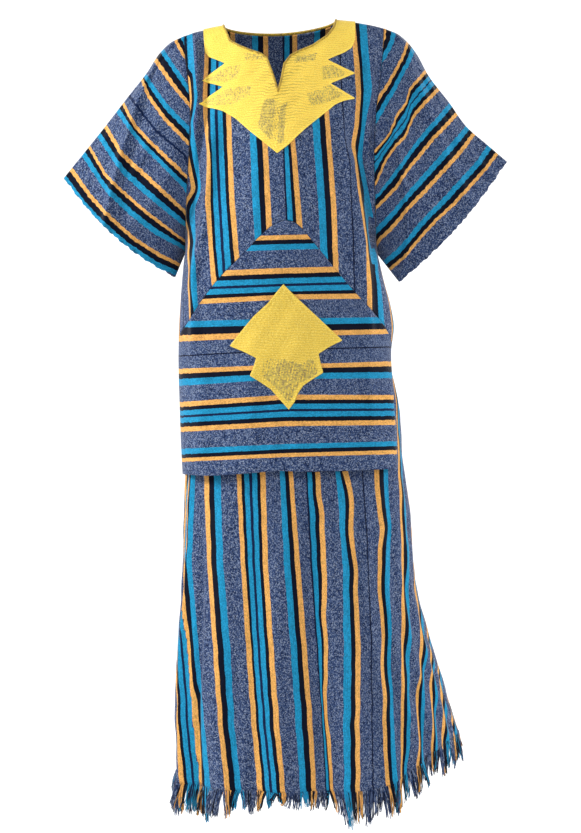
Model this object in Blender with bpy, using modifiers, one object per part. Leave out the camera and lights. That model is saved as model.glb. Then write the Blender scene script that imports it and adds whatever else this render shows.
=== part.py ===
# Fugu smock and skirt set, hollow as worn.
# Metres, +Z up, the front faces -Y and +X is the wearer's left.
# The origin is the middle of the neck at the height of the shoulder seams' inner ends.
# Every cloth piece is a flat pattern of levels and angles put on the worn form,
# then thickened to a wall, with a small gap at each seam.

from collections import namedtuple

import bmesh
import bpy
import numpy as np
from mathutils import Vector
from mathutils.geometry import delaunay_2d_cdt

# Driving sizes

WALL = 0.0020            # thickness of the strip cloth
STITCHED_WALL = 0.0016   # thickness of the yoke and the emblem
GAP = 0.0003             # air between two pieces
HALF_SEAM = 0.00032      # how far the front and the back each stand off their seam
HALF_CHEVRON = 0.00048   # the same for the seam across the front, along the cloth
ARMHOLE_GAP = 0.0011     # middle of the panel's wall to middle of the sleeve's
UNDERARM_GAP = 0.0008    # added to it at the underarm, where the panel turns away
FRINGE_GAP = 0.0006      # hem to fringe strip, down the wall's middle

SMOCK_LENGTH = 0.7585
UNDERARM = 0.394         # drop from the shoulder to the underarm
BACK_ARMHOLE = 0.90      # how far the armhole bows backward, as a share of forward
VENT_TOP = 0.538         # drop to the top of the side vents
VENT_FULL = 0.625        # drop at which a vent is as wide as it gets
LEFT_VENT = 0.010        # how far each edge of the vent on the -X side bows from the seam
RIGHT_VENT = 0.066       # and on the +X side, where the skirt shows through
SHOULDER_SLOPE = 0.017   # fall of the shoulder seam at the armhole
SHOULDER_TILT = 0.042    # rise of the shoulder line towards +X, per metre
SHOULDER_FADE = 0.26     # drop at which the shoulder's slope has died away
ARCH_END = 0.28          # drop at which a level starts to change from an arch to a tube
TUBE_START = 0.42        # and at which it is a tube
HALF_CLOTH = 0.205       # half the width of a smock panel's flat pattern

SKIRT_TOP = 0.388
SKIRT_HEM = 1.276
HEM_RISE = 0.071         # how much higher the hem is at the wearer's left side
SKIRT_RADIUS = 0.20      # mean radius, which turns a pleat's width into degrees
BAND_TOP = 0.350

# A row for each level of the smock: drop from the shoulder, the half widths on the -X and +X
# sides, and how far the front stands forward and the back stands back.
Level = namedtuple("Level", "drop left right front back")
SMOCK_LEVELS = (
    Level(0.000, 0.165, 0.170, 0.000, 0.000),
    Level(0.003, 0.165, 0.170, 0.024, 0.022),
    Level(0.015, 0.165, 0.169, 0.050, 0.045),
    Level(0.045, 0.163, 0.167, 0.073, 0.064),
    Level(0.090, 0.158, 0.163, 0.091, 0.080),
    Level(0.150, 0.154, 0.156, 0.109, 0.093),
    Level(0.220, 0.156, 0.152, 0.127, 0.103),
    Level(0.300, 0.161, 0.154, 0.137, 0.107),
    Level(0.394, 0.166, 0.160, 0.139, 0.107),
    Level(0.440, 0.170, 0.170, 0.139, 0.108),
    Level(0.480, 0.173, 0.181, 0.139, 0.110),
    Level(0.515, 0.175, 0.187, 0.139, 0.112),
    Level(0.560, 0.176, 0.182, 0.139, 0.115),
    Level(0.640, 0.174, 0.184, 0.140, 0.120),
    Level(0.700, 0.172, 0.188, 0.141, 0.123),
    Level(0.760, 0.169, 0.190, 0.143, 0.126),
)

# The same for the skirt, from the waist to below its hem.
SKIRT_LEVELS = (
    Level(0.340, 0.131, 0.133, 0.092, 0.083),
    Level(0.388, 0.134, 0.136, 0.096, 0.086),
    Level(0.450, 0.146, 0.148, 0.104, 0.093),
    Level(0.520, 0.157, 0.164, 0.112, 0.101),
    Level(0.560, 0.162, 0.172, 0.116, 0.107),
    Level(0.600, 0.164, 0.185, 0.118, 0.113),
    Level(0.640, 0.165, 0.195, 0.120, 0.1176),
    Level(0.700, 0.165, 0.200, 0.122, 0.117),
    Level(0.760, 0.164, 0.204, 0.125, 0.118),
    Level(0.800, 0.166, 0.211, 0.128, 0.120),
    Level(0.860, 0.168, 0.217, 0.132, 0.124),
    Level(0.950, 0.171, 0.225, 0.138, 0.130),
    Level(1.020, 0.175, 0.241, 0.143, 0.135),
    Level(1.110, 0.180, 0.267, 0.150, 0.143),
    Level(1.170, 0.182, 0.285, 0.154, 0.148),
    Level(1.230, 0.180, 0.303, 0.157, 0.152),
    Level(1.300, 0.179, 0.322, 0.159, 0.155),
)


def smooth(at, stations, values):
    """Cubic through the stations, whose slope at each comes from its neighbours."""
    stations = np.asarray(stations, float)
    values = np.asarray(values, float)
    slopes = np.gradient(values, stations)
    at = np.clip(at, stations[0], stations[-1])
    left = np.clip(np.searchsorted(stations, at) - 1, 0, len(stations) - 2)
    step = stations[left + 1] - stations[left]
    t = (at - stations[left]) / step
    start = (1 + 2 * t) * (1 - t) ** 2 * values[left] + t * (1 - t) ** 2 * step * slopes[left]
    end = t * t * (3 - 2 * t) * values[left + 1] - t * t * (1 - t) * step * slopes[left + 1]
    return start + end


def rise(at, low, high):
    """Soft step from 0 at low to 1 at high."""
    t = np.clip((at - low) / (high - low), 0, 1)
    return t * t * (3 - 2 * t)


def column(levels, name):
    return np.array([getattr(level, name) for level in levels])


# The smock's worn form

SMOCK_DROPS = column(SMOCK_LEVELS, "drop")
SMOCK_FRONTS = column(SMOCK_LEVELS, "front")
SMOCK_DOWNS = np.concatenate(
    ([0.0], np.cumsum(np.hypot(np.diff(SMOCK_DROPS), np.diff(SMOCK_FRONTS))))
)

# A row for each large fold of the smock's front: where its crest starts and ends, its width
# and how far it stands out.
Fold = namedtuple("Fold", "name x_top drop_top x_end drop_end width depth")
FRONT_FOLDS = (
    Fold("right_breast_drape", 0.112, 0.190, 0.138, 0.520, 0.017, 0.011),
    Fold("right_armhole_hang", 0.142, 0.040, 0.136, 0.330, 0.011, 0.009),
    Fold("left_armhole_hang", -0.140, 0.050, -0.128, 0.330, 0.012, 0.008),
    Fold("left_side_drape", -0.124, 0.260, -0.146, 0.470, 0.014, 0.007),
    Fold("left_lower_side", -0.140, 0.500, -0.136, 0.790, 0.016, 0.006),
    Fold("middle_lower", -0.052, 0.560, -0.060, 0.800, 0.022, 0.004),
    Fold("right_lower", 0.096, 0.560, 0.104, 0.800, 0.024, 0.005),
)
BACK_FOLDS = (
    Fold("left_blade", -0.110, 0.150, -0.120, 0.520, 0.018, 0.009),
    Fold("right_blade", 0.106, 0.170, 0.118, 0.560, 0.018, 0.009),
    Fold("left_tail", -0.060, 0.480, -0.066, 0.800, 0.022, 0.006),
    Fold("right_tail", 0.052, 0.450, 0.070, 0.800, 0.022, 0.006),
)


def fold_relief(folds, x, drop):
    """Sum of soft ridges, each a bell across its crest that fades in and out along it."""
    relief = np.zeros(np.broadcast(x, drop).shape)
    for fold in folds:
        along = (drop - fold.drop_top) / (fold.drop_end - fold.drop_top)
        crest = fold.x_top + (fold.x_end - fold.x_top) * along
        ends = rise(along, -0.12, 0.22) * (1 - rise(along, 0.78, 1.12))
        relief = relief + fold.depth * ends * np.exp(-(((x - crest) / fold.width) ** 2))
    return relief


def shoulder_height(x):
    return SHOULDER_TILT * x - SHOULDER_SLOPE * (np.abs(x) / 0.167) ** 3


# A row for each level of the armhole: how far its front edge bows from the seam plane.
Opening = namedtuple("Opening", "drop bow")
ARMHOLE = (
    Opening(0.000, 0.000), Opening(0.003, 0.018), Opening(0.015, 0.031), Opening(0.045, 0.043),
    Opening(0.090, 0.052), Opening(0.150, 0.058), Opening(0.220, 0.058), Opening(0.300, 0.045),
    Opening(0.350, 0.026), Opening(0.394, 0.000),
)


def edge_bow(angle, drop, back):
    """Distance of a panel's side edge from the seam plane, at the armhole and at the vent."""
    armhole = smooth(drop, column(ARMHOLE, "drop"), column(ARMHOLE, "bow"))
    armhole = np.clip(armhole, 0, None) * (BACK_ARMHOLE if back else 1)
    vent = np.where(angle < 0, LEFT_VENT, RIGHT_VENT) * rise(drop, VENT_TOP, VENT_FULL)
    return armhole + vent


def smock_point(angle, down, back=False):
    """Point of the smock: angle runs from -1 to 1 across a panel, down along the cloth.

    Across, a panel is a flattened ellipse below the underarm and a shallow arch above it,
    between side edges that bow apart at the armholes and at the vents.
    """
    angle, down = np.broadcast_arrays(np.asarray(angle, float), np.asarray(down, float))
    drop = smooth(down, SMOCK_DOWNS, SMOCK_DROPS)
    half = np.where(
        angle < 0,
        smooth(down, SMOCK_DOWNS, column(SMOCK_LEVELS, "left")),
        smooth(down, SMOCK_DOWNS, column(SMOCK_LEVELS, "right")),
    )
    tube = rise(drop, ARCH_END, TUBE_START)
    quarter = np.pi / 2 * angle
    x = half * ((1 - tube) * angle + tube * np.sin(quarter))
    depths = column(SMOCK_LEVELS, "back" if back else "front")
    reach = smooth(down, SMOCK_DOWNS, depths)
    edge = edge_bow(angle, drop, back)
    folds = BACK_FOLDS if back else FRONT_FOLDS
    arch = np.clip(np.cos(quarter), 0, 1) ** (1 - 0.32 * tube)
    out = edge + (reach - edge) * arch + fold_relief(folds, x, drop) * (1 - angle ** 6)
    height = shoulder_height(x) * (1 - rise(drop, 0, SHOULDER_FADE)) - drop
    y = out + HALF_SEAM if back else -out - HALF_SEAM
    return np.stack([x, y, height], axis=-1)


def smock_pattern(x, height):
    """Angle and down of the place on a smock panel that has this x and height."""
    x = np.asarray(x, float)
    height = np.asarray(height, float)
    drop = np.clip(-height, 0, None)
    for _ in range(40):
        fade = 1 - rise(drop, 0, SHOULDER_FADE)
        drop = np.clip(shoulder_height(x) * fade - height, 0, None)
    down = np.interp(drop, SMOCK_DROPS, SMOCK_DOWNS)
    for _ in range(8):
        down = down - (smooth(down, SMOCK_DOWNS, SMOCK_DROPS) - drop)
        down = np.clip(down, 0, SMOCK_DOWNS[-1])
    grid = np.linspace(-1, 1, 801)
    angles = [
        np.interp(value, smock_point(grid, place)[:, 0], grid)
        for value, place in zip(np.atleast_1d(x), np.atleast_1d(down))
    ]
    return np.stack([np.array(angles) * HALF_CLOTH, np.atleast_1d(down)], axis=-1)


# Outlines of the front, as x and height in metres, read down one side and up the other

NECKLINE = (
    (-0.102, 0.004), (-0.100, -0.012), (-0.097, -0.020), (-0.088, -0.043), (-0.073, -0.053),
    (-0.054, -0.062), (-0.036, -0.069), (-0.026, -0.077), (-0.021, -0.092), (-0.014, -0.113),
    (-0.008, -0.136), (-0.002, -0.113), (0.003, -0.087), (0.013, -0.073), (0.026, -0.065),
    (0.050, -0.054), (0.074, -0.036), (0.085, -0.019), (0.089, -0.004), (0.090, 0.006),
)
YOKE_OUTLINE = (
    (-0.134, 0.000), (-0.133, -0.026), (-0.130, -0.060), (-0.122, -0.070), (-0.095, -0.083),
    (-0.136, -0.110), (-0.098, -0.123), (-0.141, -0.150), (-0.124, -0.156), (-0.098, -0.165),
    (-0.077, -0.179), (-0.054, -0.201), (-0.030, -0.222), (-0.009, -0.240), (0.008, -0.227),
    (0.034, -0.201), (0.066, -0.172), (0.085, -0.155), (0.100, -0.147), (0.120, -0.142),
    (0.078, -0.119), (0.120, -0.099), (0.073, -0.078), (0.102, -0.064), (0.114, -0.055),
    (0.120, -0.041), (0.121, -0.011), (0.122, 0.010),
)
CHEVRON = (
    (-0.168, -0.526), (-0.154, -0.510), (-0.136, -0.482), (-0.113, -0.452), (-0.093, -0.431),
    (-0.062, -0.402), (-0.042, -0.380), (-0.021, -0.361), (-0.007, -0.353), (0.006, -0.349),
    (0.020, -0.353), (0.032, -0.363), (0.045, -0.379), (0.084, -0.426), (0.118, -0.465),
    (0.142, -0.490), (0.154, -0.503), (0.168, -0.519), (0.179, -0.536),
)
EMBLEM_OUTLINE = (
    (0.001, -0.454), (0.023, -0.476), (0.056, -0.507), (0.097, -0.545), (0.075, -0.556),
    (0.058, -0.567), (0.062, -0.583), (0.066, -0.598), (0.048, -0.609), (0.033, -0.619),
    (0.025, -0.631), (0.019, -0.646), (0.010, -0.658), (-0.005, -0.641), (-0.019, -0.625),
    (-0.034, -0.615), (-0.053, -0.603), (-0.047, -0.588), (-0.043, -0.574), (-0.064, -0.563),
    (-0.086, -0.554), (-0.071, -0.535), (-0.047, -0.506), (-0.024, -0.485), (-0.011, -0.468),
)
BACK_NECK_DEPTH = 0.048  # depth of the back neck's curve, down the cloth
YOKE_BAND = 0.032        # width of the yoke's band round the back neck


def divided(points, pitch):
    """The same open line with points added, none further apart than the pitch."""
    points = [np.asarray(point, float) for point in points]
    line = [points[0]]
    for start, end in zip(points, points[1:]):
        steps = max(1, int(np.ceil(np.linalg.norm(end - start) / pitch)))
        line += [start + (end - start) * step / steps for step in range(1, steps + 1)]
    return np.array(line)


def inside(points, outline):
    """Even and odd crossings of a level line tell which points an outline holds."""
    held = np.zeros(len(points), bool)
    for start, end in zip(outline, np.roll(outline, -1, axis=0)):
        spans = (start[1] > points[:, 1]) != (end[1] > points[:, 1])
        fall = end[1] - start[1]
        cut = start[0] + (end[0] - start[0]) * (points[:, 1] - start[1]) / (fall if fall else 1)
        held ^= spans & (points[:, 0] < cut)
    return held


def away_from(points, line, distance):
    """Which points lie at least this far from every stretch of a line."""
    clear = np.ones(len(points), bool)
    for start, end in zip(line, line[1:]):
        stretch = end - start
        length = max(float(stretch @ stretch), 1e-12)
        t = np.clip((points - start) @ stretch / length, 0, 1)
        clear &= np.linalg.norm(points - (start + t[:, None] * stretch), axis=1) > distance
    return clear


def mesh_pattern(outline, marks, across, down):
    """Triangles of a flat pattern whose edges follow the outline and the marked lines."""
    closed = np.vstack([outline, outline[:1]])
    columns = np.arange(-HALF_CLOTH, HALF_CLOTH, across)
    rows = np.arange(0, outline[:, 1].max(), down)
    lattice = np.stack(np.meshgrid(columns + across / 2, rows + down / 2), axis=-1)
    lattice[1::2, :, 0] += across / 2
    lattice = lattice.reshape(-1, 2)
    lattice = lattice[inside(lattice, outline)]
    for line in [closed, *marks]:
        lattice = lattice[away_from(lattice, line, 0.5 * min(across, down))]
    points = [Vector(point) for point in np.vstack([outline, *marks, lattice])]
    edges = [(i, (i + 1) % len(outline)) for i in range(len(outline))]
    first = len(outline)
    for line in marks:
        edges += [(first + i, first + i + 1) for i in range(len(line) - 1)]
        first += len(line)
    flat, _, faces, *_ = delaunay_2d_cdt(points, edges, [], 1, 1e-6)
    flat = np.array([tuple(point) for point in flat])
    centres = np.array([flat[list(face)].mean(axis=0) for face in faces])
    faces = [face for face, held in zip(faces, inside(centres, outline)) if held]
    return flat, faces


# The collection, the materials and the walls

Cloth = namedtuple("Cloth", "red green blue rough")
STRIP_CLOTH = Cloth(0.16, 0.20, 0.36, 0.90)
STITCHING = Cloth(0.85, 0.64, 0.05, 0.55)
YARN = Cloth(0.14, 0.19, 0.33, 0.95)

for leftover in list(bpy.data.objects):
    bpy.data.objects.remove(leftover, do_unlink=True)
garment = bpy.data.collections.new("fugu_smock_and_skirt")
bpy.context.scene.collection.children.link(garment)


def new_piece(name, points, faces, cloth):
    mesh = bpy.data.meshes.new(name)
    mesh.from_pydata([tuple(point) for point in points], [], [tuple(face) for face in faces])
    mesh.shade_smooth()
    material = bpy.data.materials.new(name)
    material.use_nodes = True
    shader = material.node_tree.nodes["Principled BSDF"]
    shader.inputs["Base Color"].default_value = (cloth.red, cloth.green, cloth.blue, 1)
    shader.inputs["Roughness"].default_value = cloth.rough
    shader.inputs["Metallic"].default_value = 0
    mesh.materials.append(material)
    piece = bpy.data.objects.new(name, mesh)
    garment.objects.link(piece)
    return piece


def thicken(piece, wall):
    """Wall of even thickness about the piece's surface."""
    solidify = piece.modifiers.new("wall", "SOLIDIFY")
    solidify.thickness = wall
    solidify.offset = 0
    return piece


def vertex_normals(points, faces):
    """Normal at each point, the sum of its faces' area vectors."""
    points = np.asarray(points, float)
    corners = points[np.array(faces)]
    areas = np.cross(corners[:, 1] - corners[:, 0], corners[:, 2] - corners[:, 0])
    normals = np.zeros_like(points)
    for corner in range(3):
        np.add.at(normals, np.array(faces)[:, corner], areas)
    return normals / np.maximum(np.linalg.norm(normals, axis=1, keepdims=True), 1e-12)


def lay_on(name, points, faces, normals, outline, flat):
    """Piece sewn on a panel: the panel's own points inside an outline, moved out."""
    centres = np.array([flat[list(face)].mean(axis=0) for face in faces])
    held = [face for face, kept in zip(faces, inside(centres, outline)) if kept]
    used = sorted({index for face in held for index in face})
    places = {index: place for place, index in enumerate(used)}
    step = WALL / 2 + GAP + STITCHED_WALL / 2
    moved = points[used] + step * normals[used]
    piece = new_piece(name, moved, [[places[i] for i in face] for face in held], STITCHING)
    return thicken(piece, STITCHED_WALL)


def smock_panel(name, outline, marks, across, down, back=False):
    """A smock panel on the worn form, with its flat pattern, faces and normals."""
    flat, faces = mesh_pattern(outline, marks, across, down)
    points = smock_point(flat[:, 0] / HALF_CLOTH, flat[:, 1], back)
    if not back:
        faces = [face[::-1] for face in faces]
    thicken(new_piece(name, points, faces, STRIP_CLOTH), WALL)
    return points, faces, vertex_normals(points, faces), flat


# The smock's front, cut in two at the chevron seam

FRONT_ACROSS = 0.0180
FRONT_DOWN = 0.0200
OUTLINE_PITCH = 0.0170
SIDE_PITCH = 0.0180
CHEVRON_SIDE_SLOPE = 0.55   # fall of the chevron seam per width, where it nears the sides
HEM_DOWN = float(np.interp(SMOCK_LENGTH, SMOCK_DROPS, SMOCK_DOWNS))


def on_pattern(points, pitch=OUTLINE_PITCH):
    line = divided(points, pitch)
    return smock_pattern(line[:, 0], line[:, 1])


neckline = on_pattern(NECKLINE)
neckline[[0, -1], 1] = 0
yoke_line = on_pattern(YOKE_OUTLINE)
yoke_line[[0, -1], 1] = 0
chevron = on_pattern(CHEVRON)
chevron_ends = [
    place[1] + (HALF_CLOTH - abs(place[0])) * CHEVRON_SIDE_SLOPE
    for place in (chevron[0], chevron[-1])
]
chevron = np.vstack([
    [-HALF_CLOTH, chevron_ends[0]], chevron, [HALF_CLOTH, chevron_ends[1]],
])
shoulder_left = divided([(-HALF_CLOTH, 0), yoke_line[0], neckline[0]], OUTLINE_PITCH)
shoulder_right = divided([neckline[-1], yoke_line[-1], (HALF_CLOTH, 0)], OUTLINE_PITCH)
upper_edge = chevron - (0, HALF_CHEVRON)
lower_edge = chevron + (0, HALF_CHEVRON)
side_right = divided([(HALF_CLOTH, 0), upper_edge[-1]], SIDE_PITCH)
side_left = divided([upper_edge[0], (-HALF_CLOTH, 0)], SIDE_PITCH)
upper_outline = np.vstack([
    shoulder_left[:-1], neckline, shoulder_right[1:], side_right[1:-1],
    upper_edge[::-1], side_left[1:-1],
])
points, faces, normals, flat = smock_panel(
    "smock_front_upper", upper_outline, [yoke_line[1:-1]], FRONT_ACROSS, FRONT_DOWN
)
yoke_region = np.vstack([yoke_line, neckline[::-1]])
lay_on("yoke_front", points, faces, normals, yoke_region, flat)

lower_right = divided([lower_edge[-1], (HALF_CLOTH, HEM_DOWN)], SIDE_PITCH)
lower_hem = divided([(HALF_CLOTH, HEM_DOWN), (-HALF_CLOTH, HEM_DOWN)], OUTLINE_PITCH)
lower_left = divided([(-HALF_CLOTH, HEM_DOWN), lower_edge[0]], SIDE_PITCH)
lower_outline = np.vstack([lower_edge, lower_right[1:-1], lower_hem, lower_left[1:-1]])
emblem_line = on_pattern(EMBLEM_OUTLINE + EMBLEM_OUTLINE[:1])
points, faces, normals, flat = smock_panel(
    "smock_front_lower", lower_outline, [emblem_line], FRONT_ACROSS, FRONT_DOWN
)
lay_on("front_emblem", points, faces, normals, emblem_line[:-1], flat)

# The smock's back, with the yoke's band round its neck

BACK_ACROSS = 0.025
BACK_DOWN = 0.032
BACK_PITCH = 0.020


def back_neck(outset):
    """Half of a flat ellipse below the shoulder line, from one shoulder to the other."""
    left = neckline[0, 0] - outset
    right = neckline[-1, 0] + outset
    turn = np.linspace(np.pi, 0, 19)
    across = (left + right) / 2 + (right - left) / 2 * np.cos(turn)
    depth = BACK_NECK_DEPTH + outset
    return np.stack([across, depth * np.sin(turn) ** 0.8], axis=-1)


neck_edge = back_neck(0)
band_edge = back_neck(YOKE_BAND)
back_left = divided([(-HALF_CLOTH, 0), band_edge[0], neck_edge[0]], BACK_PITCH)
back_right = divided([neck_edge[-1], band_edge[-1], (HALF_CLOTH, 0)], BACK_PITCH)
back_side = divided([(HALF_CLOTH, 0), (HALF_CLOTH, HEM_DOWN)], BACK_PITCH)
back_hem = divided([(HALF_CLOTH, HEM_DOWN), (-HALF_CLOTH, HEM_DOWN)], BACK_PITCH)
back_outline = np.vstack([
    back_left[:-1], neck_edge, back_right[1:], back_side[1:-1], back_hem,
    (back_side * (-1, 1))[::-1][1:-1],
])
points, faces, normals, flat = smock_panel(
    "smock_back", back_outline, [band_edge[1:-1]], BACK_ACROSS, BACK_DOWN, back=True
)
band_region = np.vstack([band_edge, neck_edge[::-1]])
lay_on("yoke_back", points, faces, normals, band_region, flat)


# Closed and open grids of cloth

def grid_faces(rows, columns, closed):
    """Quads of a grid whose rows run down; a closed grid joins its last column to its first."""
    spans = columns if closed else columns - 1
    return [
        (
            row * columns + span,
            (row + 1) * columns + span,
            (row + 1) * columns + (span + 1) % columns,
            row * columns + (span + 1) % columns,
        )
        for row in range(rows - 1)
        for span in range(spans)
    ]


def grid_piece(name, grid, closed, cloth):
    rows, columns = grid.shape[:2]
    faces = grid_faces(rows, columns, closed)
    return thicken(new_piece(name, grid.reshape(-1, 3), faces, cloth), WALL)


# The sleeves, each one folded piece from the armhole to the cuff

# How far the sleeve's upper edge stands off a straight line, along its length.
Bow = namedtuple("Bow", "along out")
Sleeve = namedtuple("Sleeve", "name side tip_x tip_z corner_x corner_z cuff_bow top_bows")
SLEEVES = (
    Sleeve(
        "sleeve_right", -1, 0.372, -0.264, 0.184, -0.432, 0.016,
        (Bow(0, 0), Bow(0.06, 0.010), Bow(0.15, 0.014), Bow(0.28, 0.009), Bow(0.43, 0.007),
         Bow(0.65, 0.0035), Bow(1, 0)),
    ),
    Sleeve(
        "sleeve_left", 1, 0.380, -0.236, 0.198, -0.440, 0.011,
        (Bow(0, 0), Bow(0.06, 0.010), Bow(0.14, 0.014), Bow(0.22, 0.012), Bow(0.35, 0.002),
         Bow(0.55, -0.004), Bow(0.70, -0.010), Bow(0.86, -0.005), Bow(1, 0)),
    ),
)
# A row for each large fold of a sleeve: its layer, where its crest starts and ends, as shares
# of the way to the cuff and of the way down the layer, its width as such a share, its depth.
SleeveFold = namedtuple("SleeveFold", "name side back along_top down_top along_end down_end width depth")
SLEEVE_FOLDS = (
    SleeveFold("right_arm_ridge", -1, False, 0.10, 0.04, 0.80, 0.27, 0.075, 0.009),
    SleeveFold("right_low_drape", -1, False, 0.00, 0.66, 1.00, 0.58, 0.100, 0.006),
    SleeveFold("right_back_drape", -1, True, 0.10, 0.22, 0.90, 0.42, 0.090, 0.008),
    SleeveFold("left_arm_ridge", 1, False, 0.05, 0.10, 0.85, 0.34, 0.080, 0.008),
    SleeveFold("left_low_drape", 1, False, 0.00, 0.56, 1.00, 0.64, 0.100, 0.008),
    SleeveFold("left_back_drape", 1, True, 0.10, 0.26, 0.90, 0.46, 0.090, 0.008),
)
CUFF_HALF_DEPTH = 0.044
SLEEVE_BILLOW = 0.16     # how much deeper the sleeve is halfway along, as a share
UNDERARM_TURN = 0.26     # drop at which the underarm's added gap begins
SLEEVE_RINGS = 12
SLEEVE_LAYER = 16        # points down each layer, from the upper fold to the underarm


def sleeve_relief(side, back, along, down_share):
    """Sum of a layer's folds, each a bell across its crest, none at the seams and edges."""
    relief = np.zeros(np.broadcast(along, down_share).shape)
    for fold in SLEEVE_FOLDS:
        if fold.side != side or fold.back != back:
            continue
        share = (along - fold.along_top) / (fold.along_end - fold.along_top)
        crest = fold.down_top + (fold.down_end - fold.down_top) * share
        bell = np.exp(-(((down_share - crest) / fold.width) ** 2))
        relief = relief + fold.depth * rise(share, -0.10, 0.30) * bell
    return relief * np.sin(np.pi * down_share) ** 0.5


def sleeve_grid(sleeve, rings=SLEEVE_RINGS, layer=SLEEVE_LAYER):
    """Rings from the armhole's own edge to the cuff.

    Each ring runs down the front layer and up the back layer. The cuff is a bowed line from
    its outer tip to its inner corner, opened to a leaf that is widest where the arm passes.
    """
    down_share = np.linspace(0, 1, layer)
    downs = down_share * np.interp(UNDERARM, SMOCK_DROPS, SMOCK_DOWNS)
    cuff_x = sleeve.tip_x + (sleeve.corner_x - sleeve.tip_x) * down_share
    cuff_z = sleeve.tip_z + (sleeve.corner_z - sleeve.tip_z) * down_share
    chord = np.array([sleeve.corner_x - sleeve.tip_x, sleeve.corner_z - sleeve.tip_z])
    outward = np.array([-chord[1], chord[0]]) / np.linalg.norm(chord)
    belly = sleeve.cuff_bow * np.sin(np.pi * down_share)
    cuff_x = cuff_x + belly * outward[0]
    cuff_z = cuff_z + belly * outward[1]
    cuff_depth = CUFF_HALF_DEPTH * np.sin(np.pi * down_share ** 1.25) ** 0.9
    along = np.linspace(0, 1, rings)[:, None]
    bows = smooth(along, [bow.along for bow in sleeve.top_bows], [bow.out for bow in sleeve.top_bows])
    layers = []
    for back in (False, True):
        armhole = smock_point(np.full(layer, float(sleeve.side)), downs, back)
        turned = rise(-armhole[:, 2], UNDERARM_TURN, UNDERARM)
        reach = np.abs(armhole[:, 0]) + ARMHOLE_GAP + UNDERARM_GAP * turned
        start_z = armhole[:, 2]
        start_depth = np.abs(armhole[:, 1])
        top = np.array([sleeve.tip_x - reach[0], sleeve.tip_z - start_z[0]])
        lift = np.array([-top[1], top[0]]) / np.linalg.norm(top)
        fade = (1 - down_share) ** 2.2
        x = reach + (cuff_x - reach) * along + bows * fade * lift[0]
        z = start_z + (cuff_z - start_z) * along + bows * fade * lift[1]
        billow = 1 + SLEEVE_BILLOW * np.sin(np.pi * along)
        y = (start_depth + (cuff_depth - start_depth) * along) * billow
        y = y + sleeve_relief(sleeve.side, back, along, down_share) * rise(along, 0, 0.3)
        y[:, [0, -1]] = 0
        layers.append(np.stack([sleeve.side * x, y if back else -y, z], axis=-1))
    front, behind = layers
    return np.concatenate([front, behind[:, -2:0:-1]], axis=1)


for sleeve in SLEEVES:
    ring_grid = sleeve_grid(sleeve)
    if sleeve.side > 0:
        ring_grid = ring_grid[:, ::-1]
    grid_piece(sleeve.name, ring_grid, True, STRIP_CLOTH)

# The skirt

SKIRT_DROPS = column(SKIRT_LEVELS, "drop")

# A row for each large fold of the skirt: its compass angle in degrees, 0 at the middle of the
# front and 90 at +X, at the waist and at the hem, the drop where it begins, its width and
# its depth at the hem; a valley has a negative depth.
Pleat = namedtuple("Pleat", "name top_angle hem_angle begins width depth")
PLEATS = (
    Pleat("front_left_edge", -66, -64, 0.50, 0.020, 0.012),
    Pleat("front_left_valley", -50, -49, 0.60, 0.018, -0.010),
    Pleat("front_left_ridge", -36, -34, 0.55, 0.022, 0.012),
    Pleat("front_middle_valley", -17, -15, 0.70, 0.018, -0.008),
    Pleat("front_middle_ridge", -3, -2, 0.60, 0.020, 0.010),
    Pleat("front_long_valley", 14, 12, 0.45, 0.014, -0.012),
    Pleat("front_right_ridge", 24, 21, 0.50, 0.018, 0.012),
    Pleat("front_right_valley", 37, 31, 0.60, 0.016, -0.013),
    Pleat("fan_ridge_one", 44, 39, 0.45, 0.014, 0.014),
    Pleat("fan_valley_one", 52, 47, 0.50, 0.012, -0.012),
    Pleat("fan_ridge_two", 59, 55, 0.55, 0.013, 0.014),
    Pleat("fan_valley_two", 66, 63, 0.62, 0.012, -0.012),
    Pleat("fan_ridge_three", 74, 71, 0.70, 0.014, 0.012),
    Pleat("side_valley", 100, 104, 0.62, 0.020, -0.012),
    Pleat("back_left_ridge", 118, 120, 0.50, 0.024, 0.014),
    Pleat("back_left_valley", 136, 137, 0.60, 0.020, -0.012),
    Pleat("back_middle_ridge", 154, 153, 0.55, 0.024, 0.012),
    Pleat("back_middle_valley", 171, 170, 0.70, 0.020, -0.010),
    Pleat("back_right_ridge", 190, 188, 0.55, 0.022, 0.012),
    Pleat("back_right_valley", 208, 207, 0.60, 0.020, -0.012),
    Pleat("back_far_ridge", 226, 227, 0.50, 0.022, 0.012),
    Pleat("back_side_valley", 246, 248, 0.65, 0.020, -0.010),
)


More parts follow.
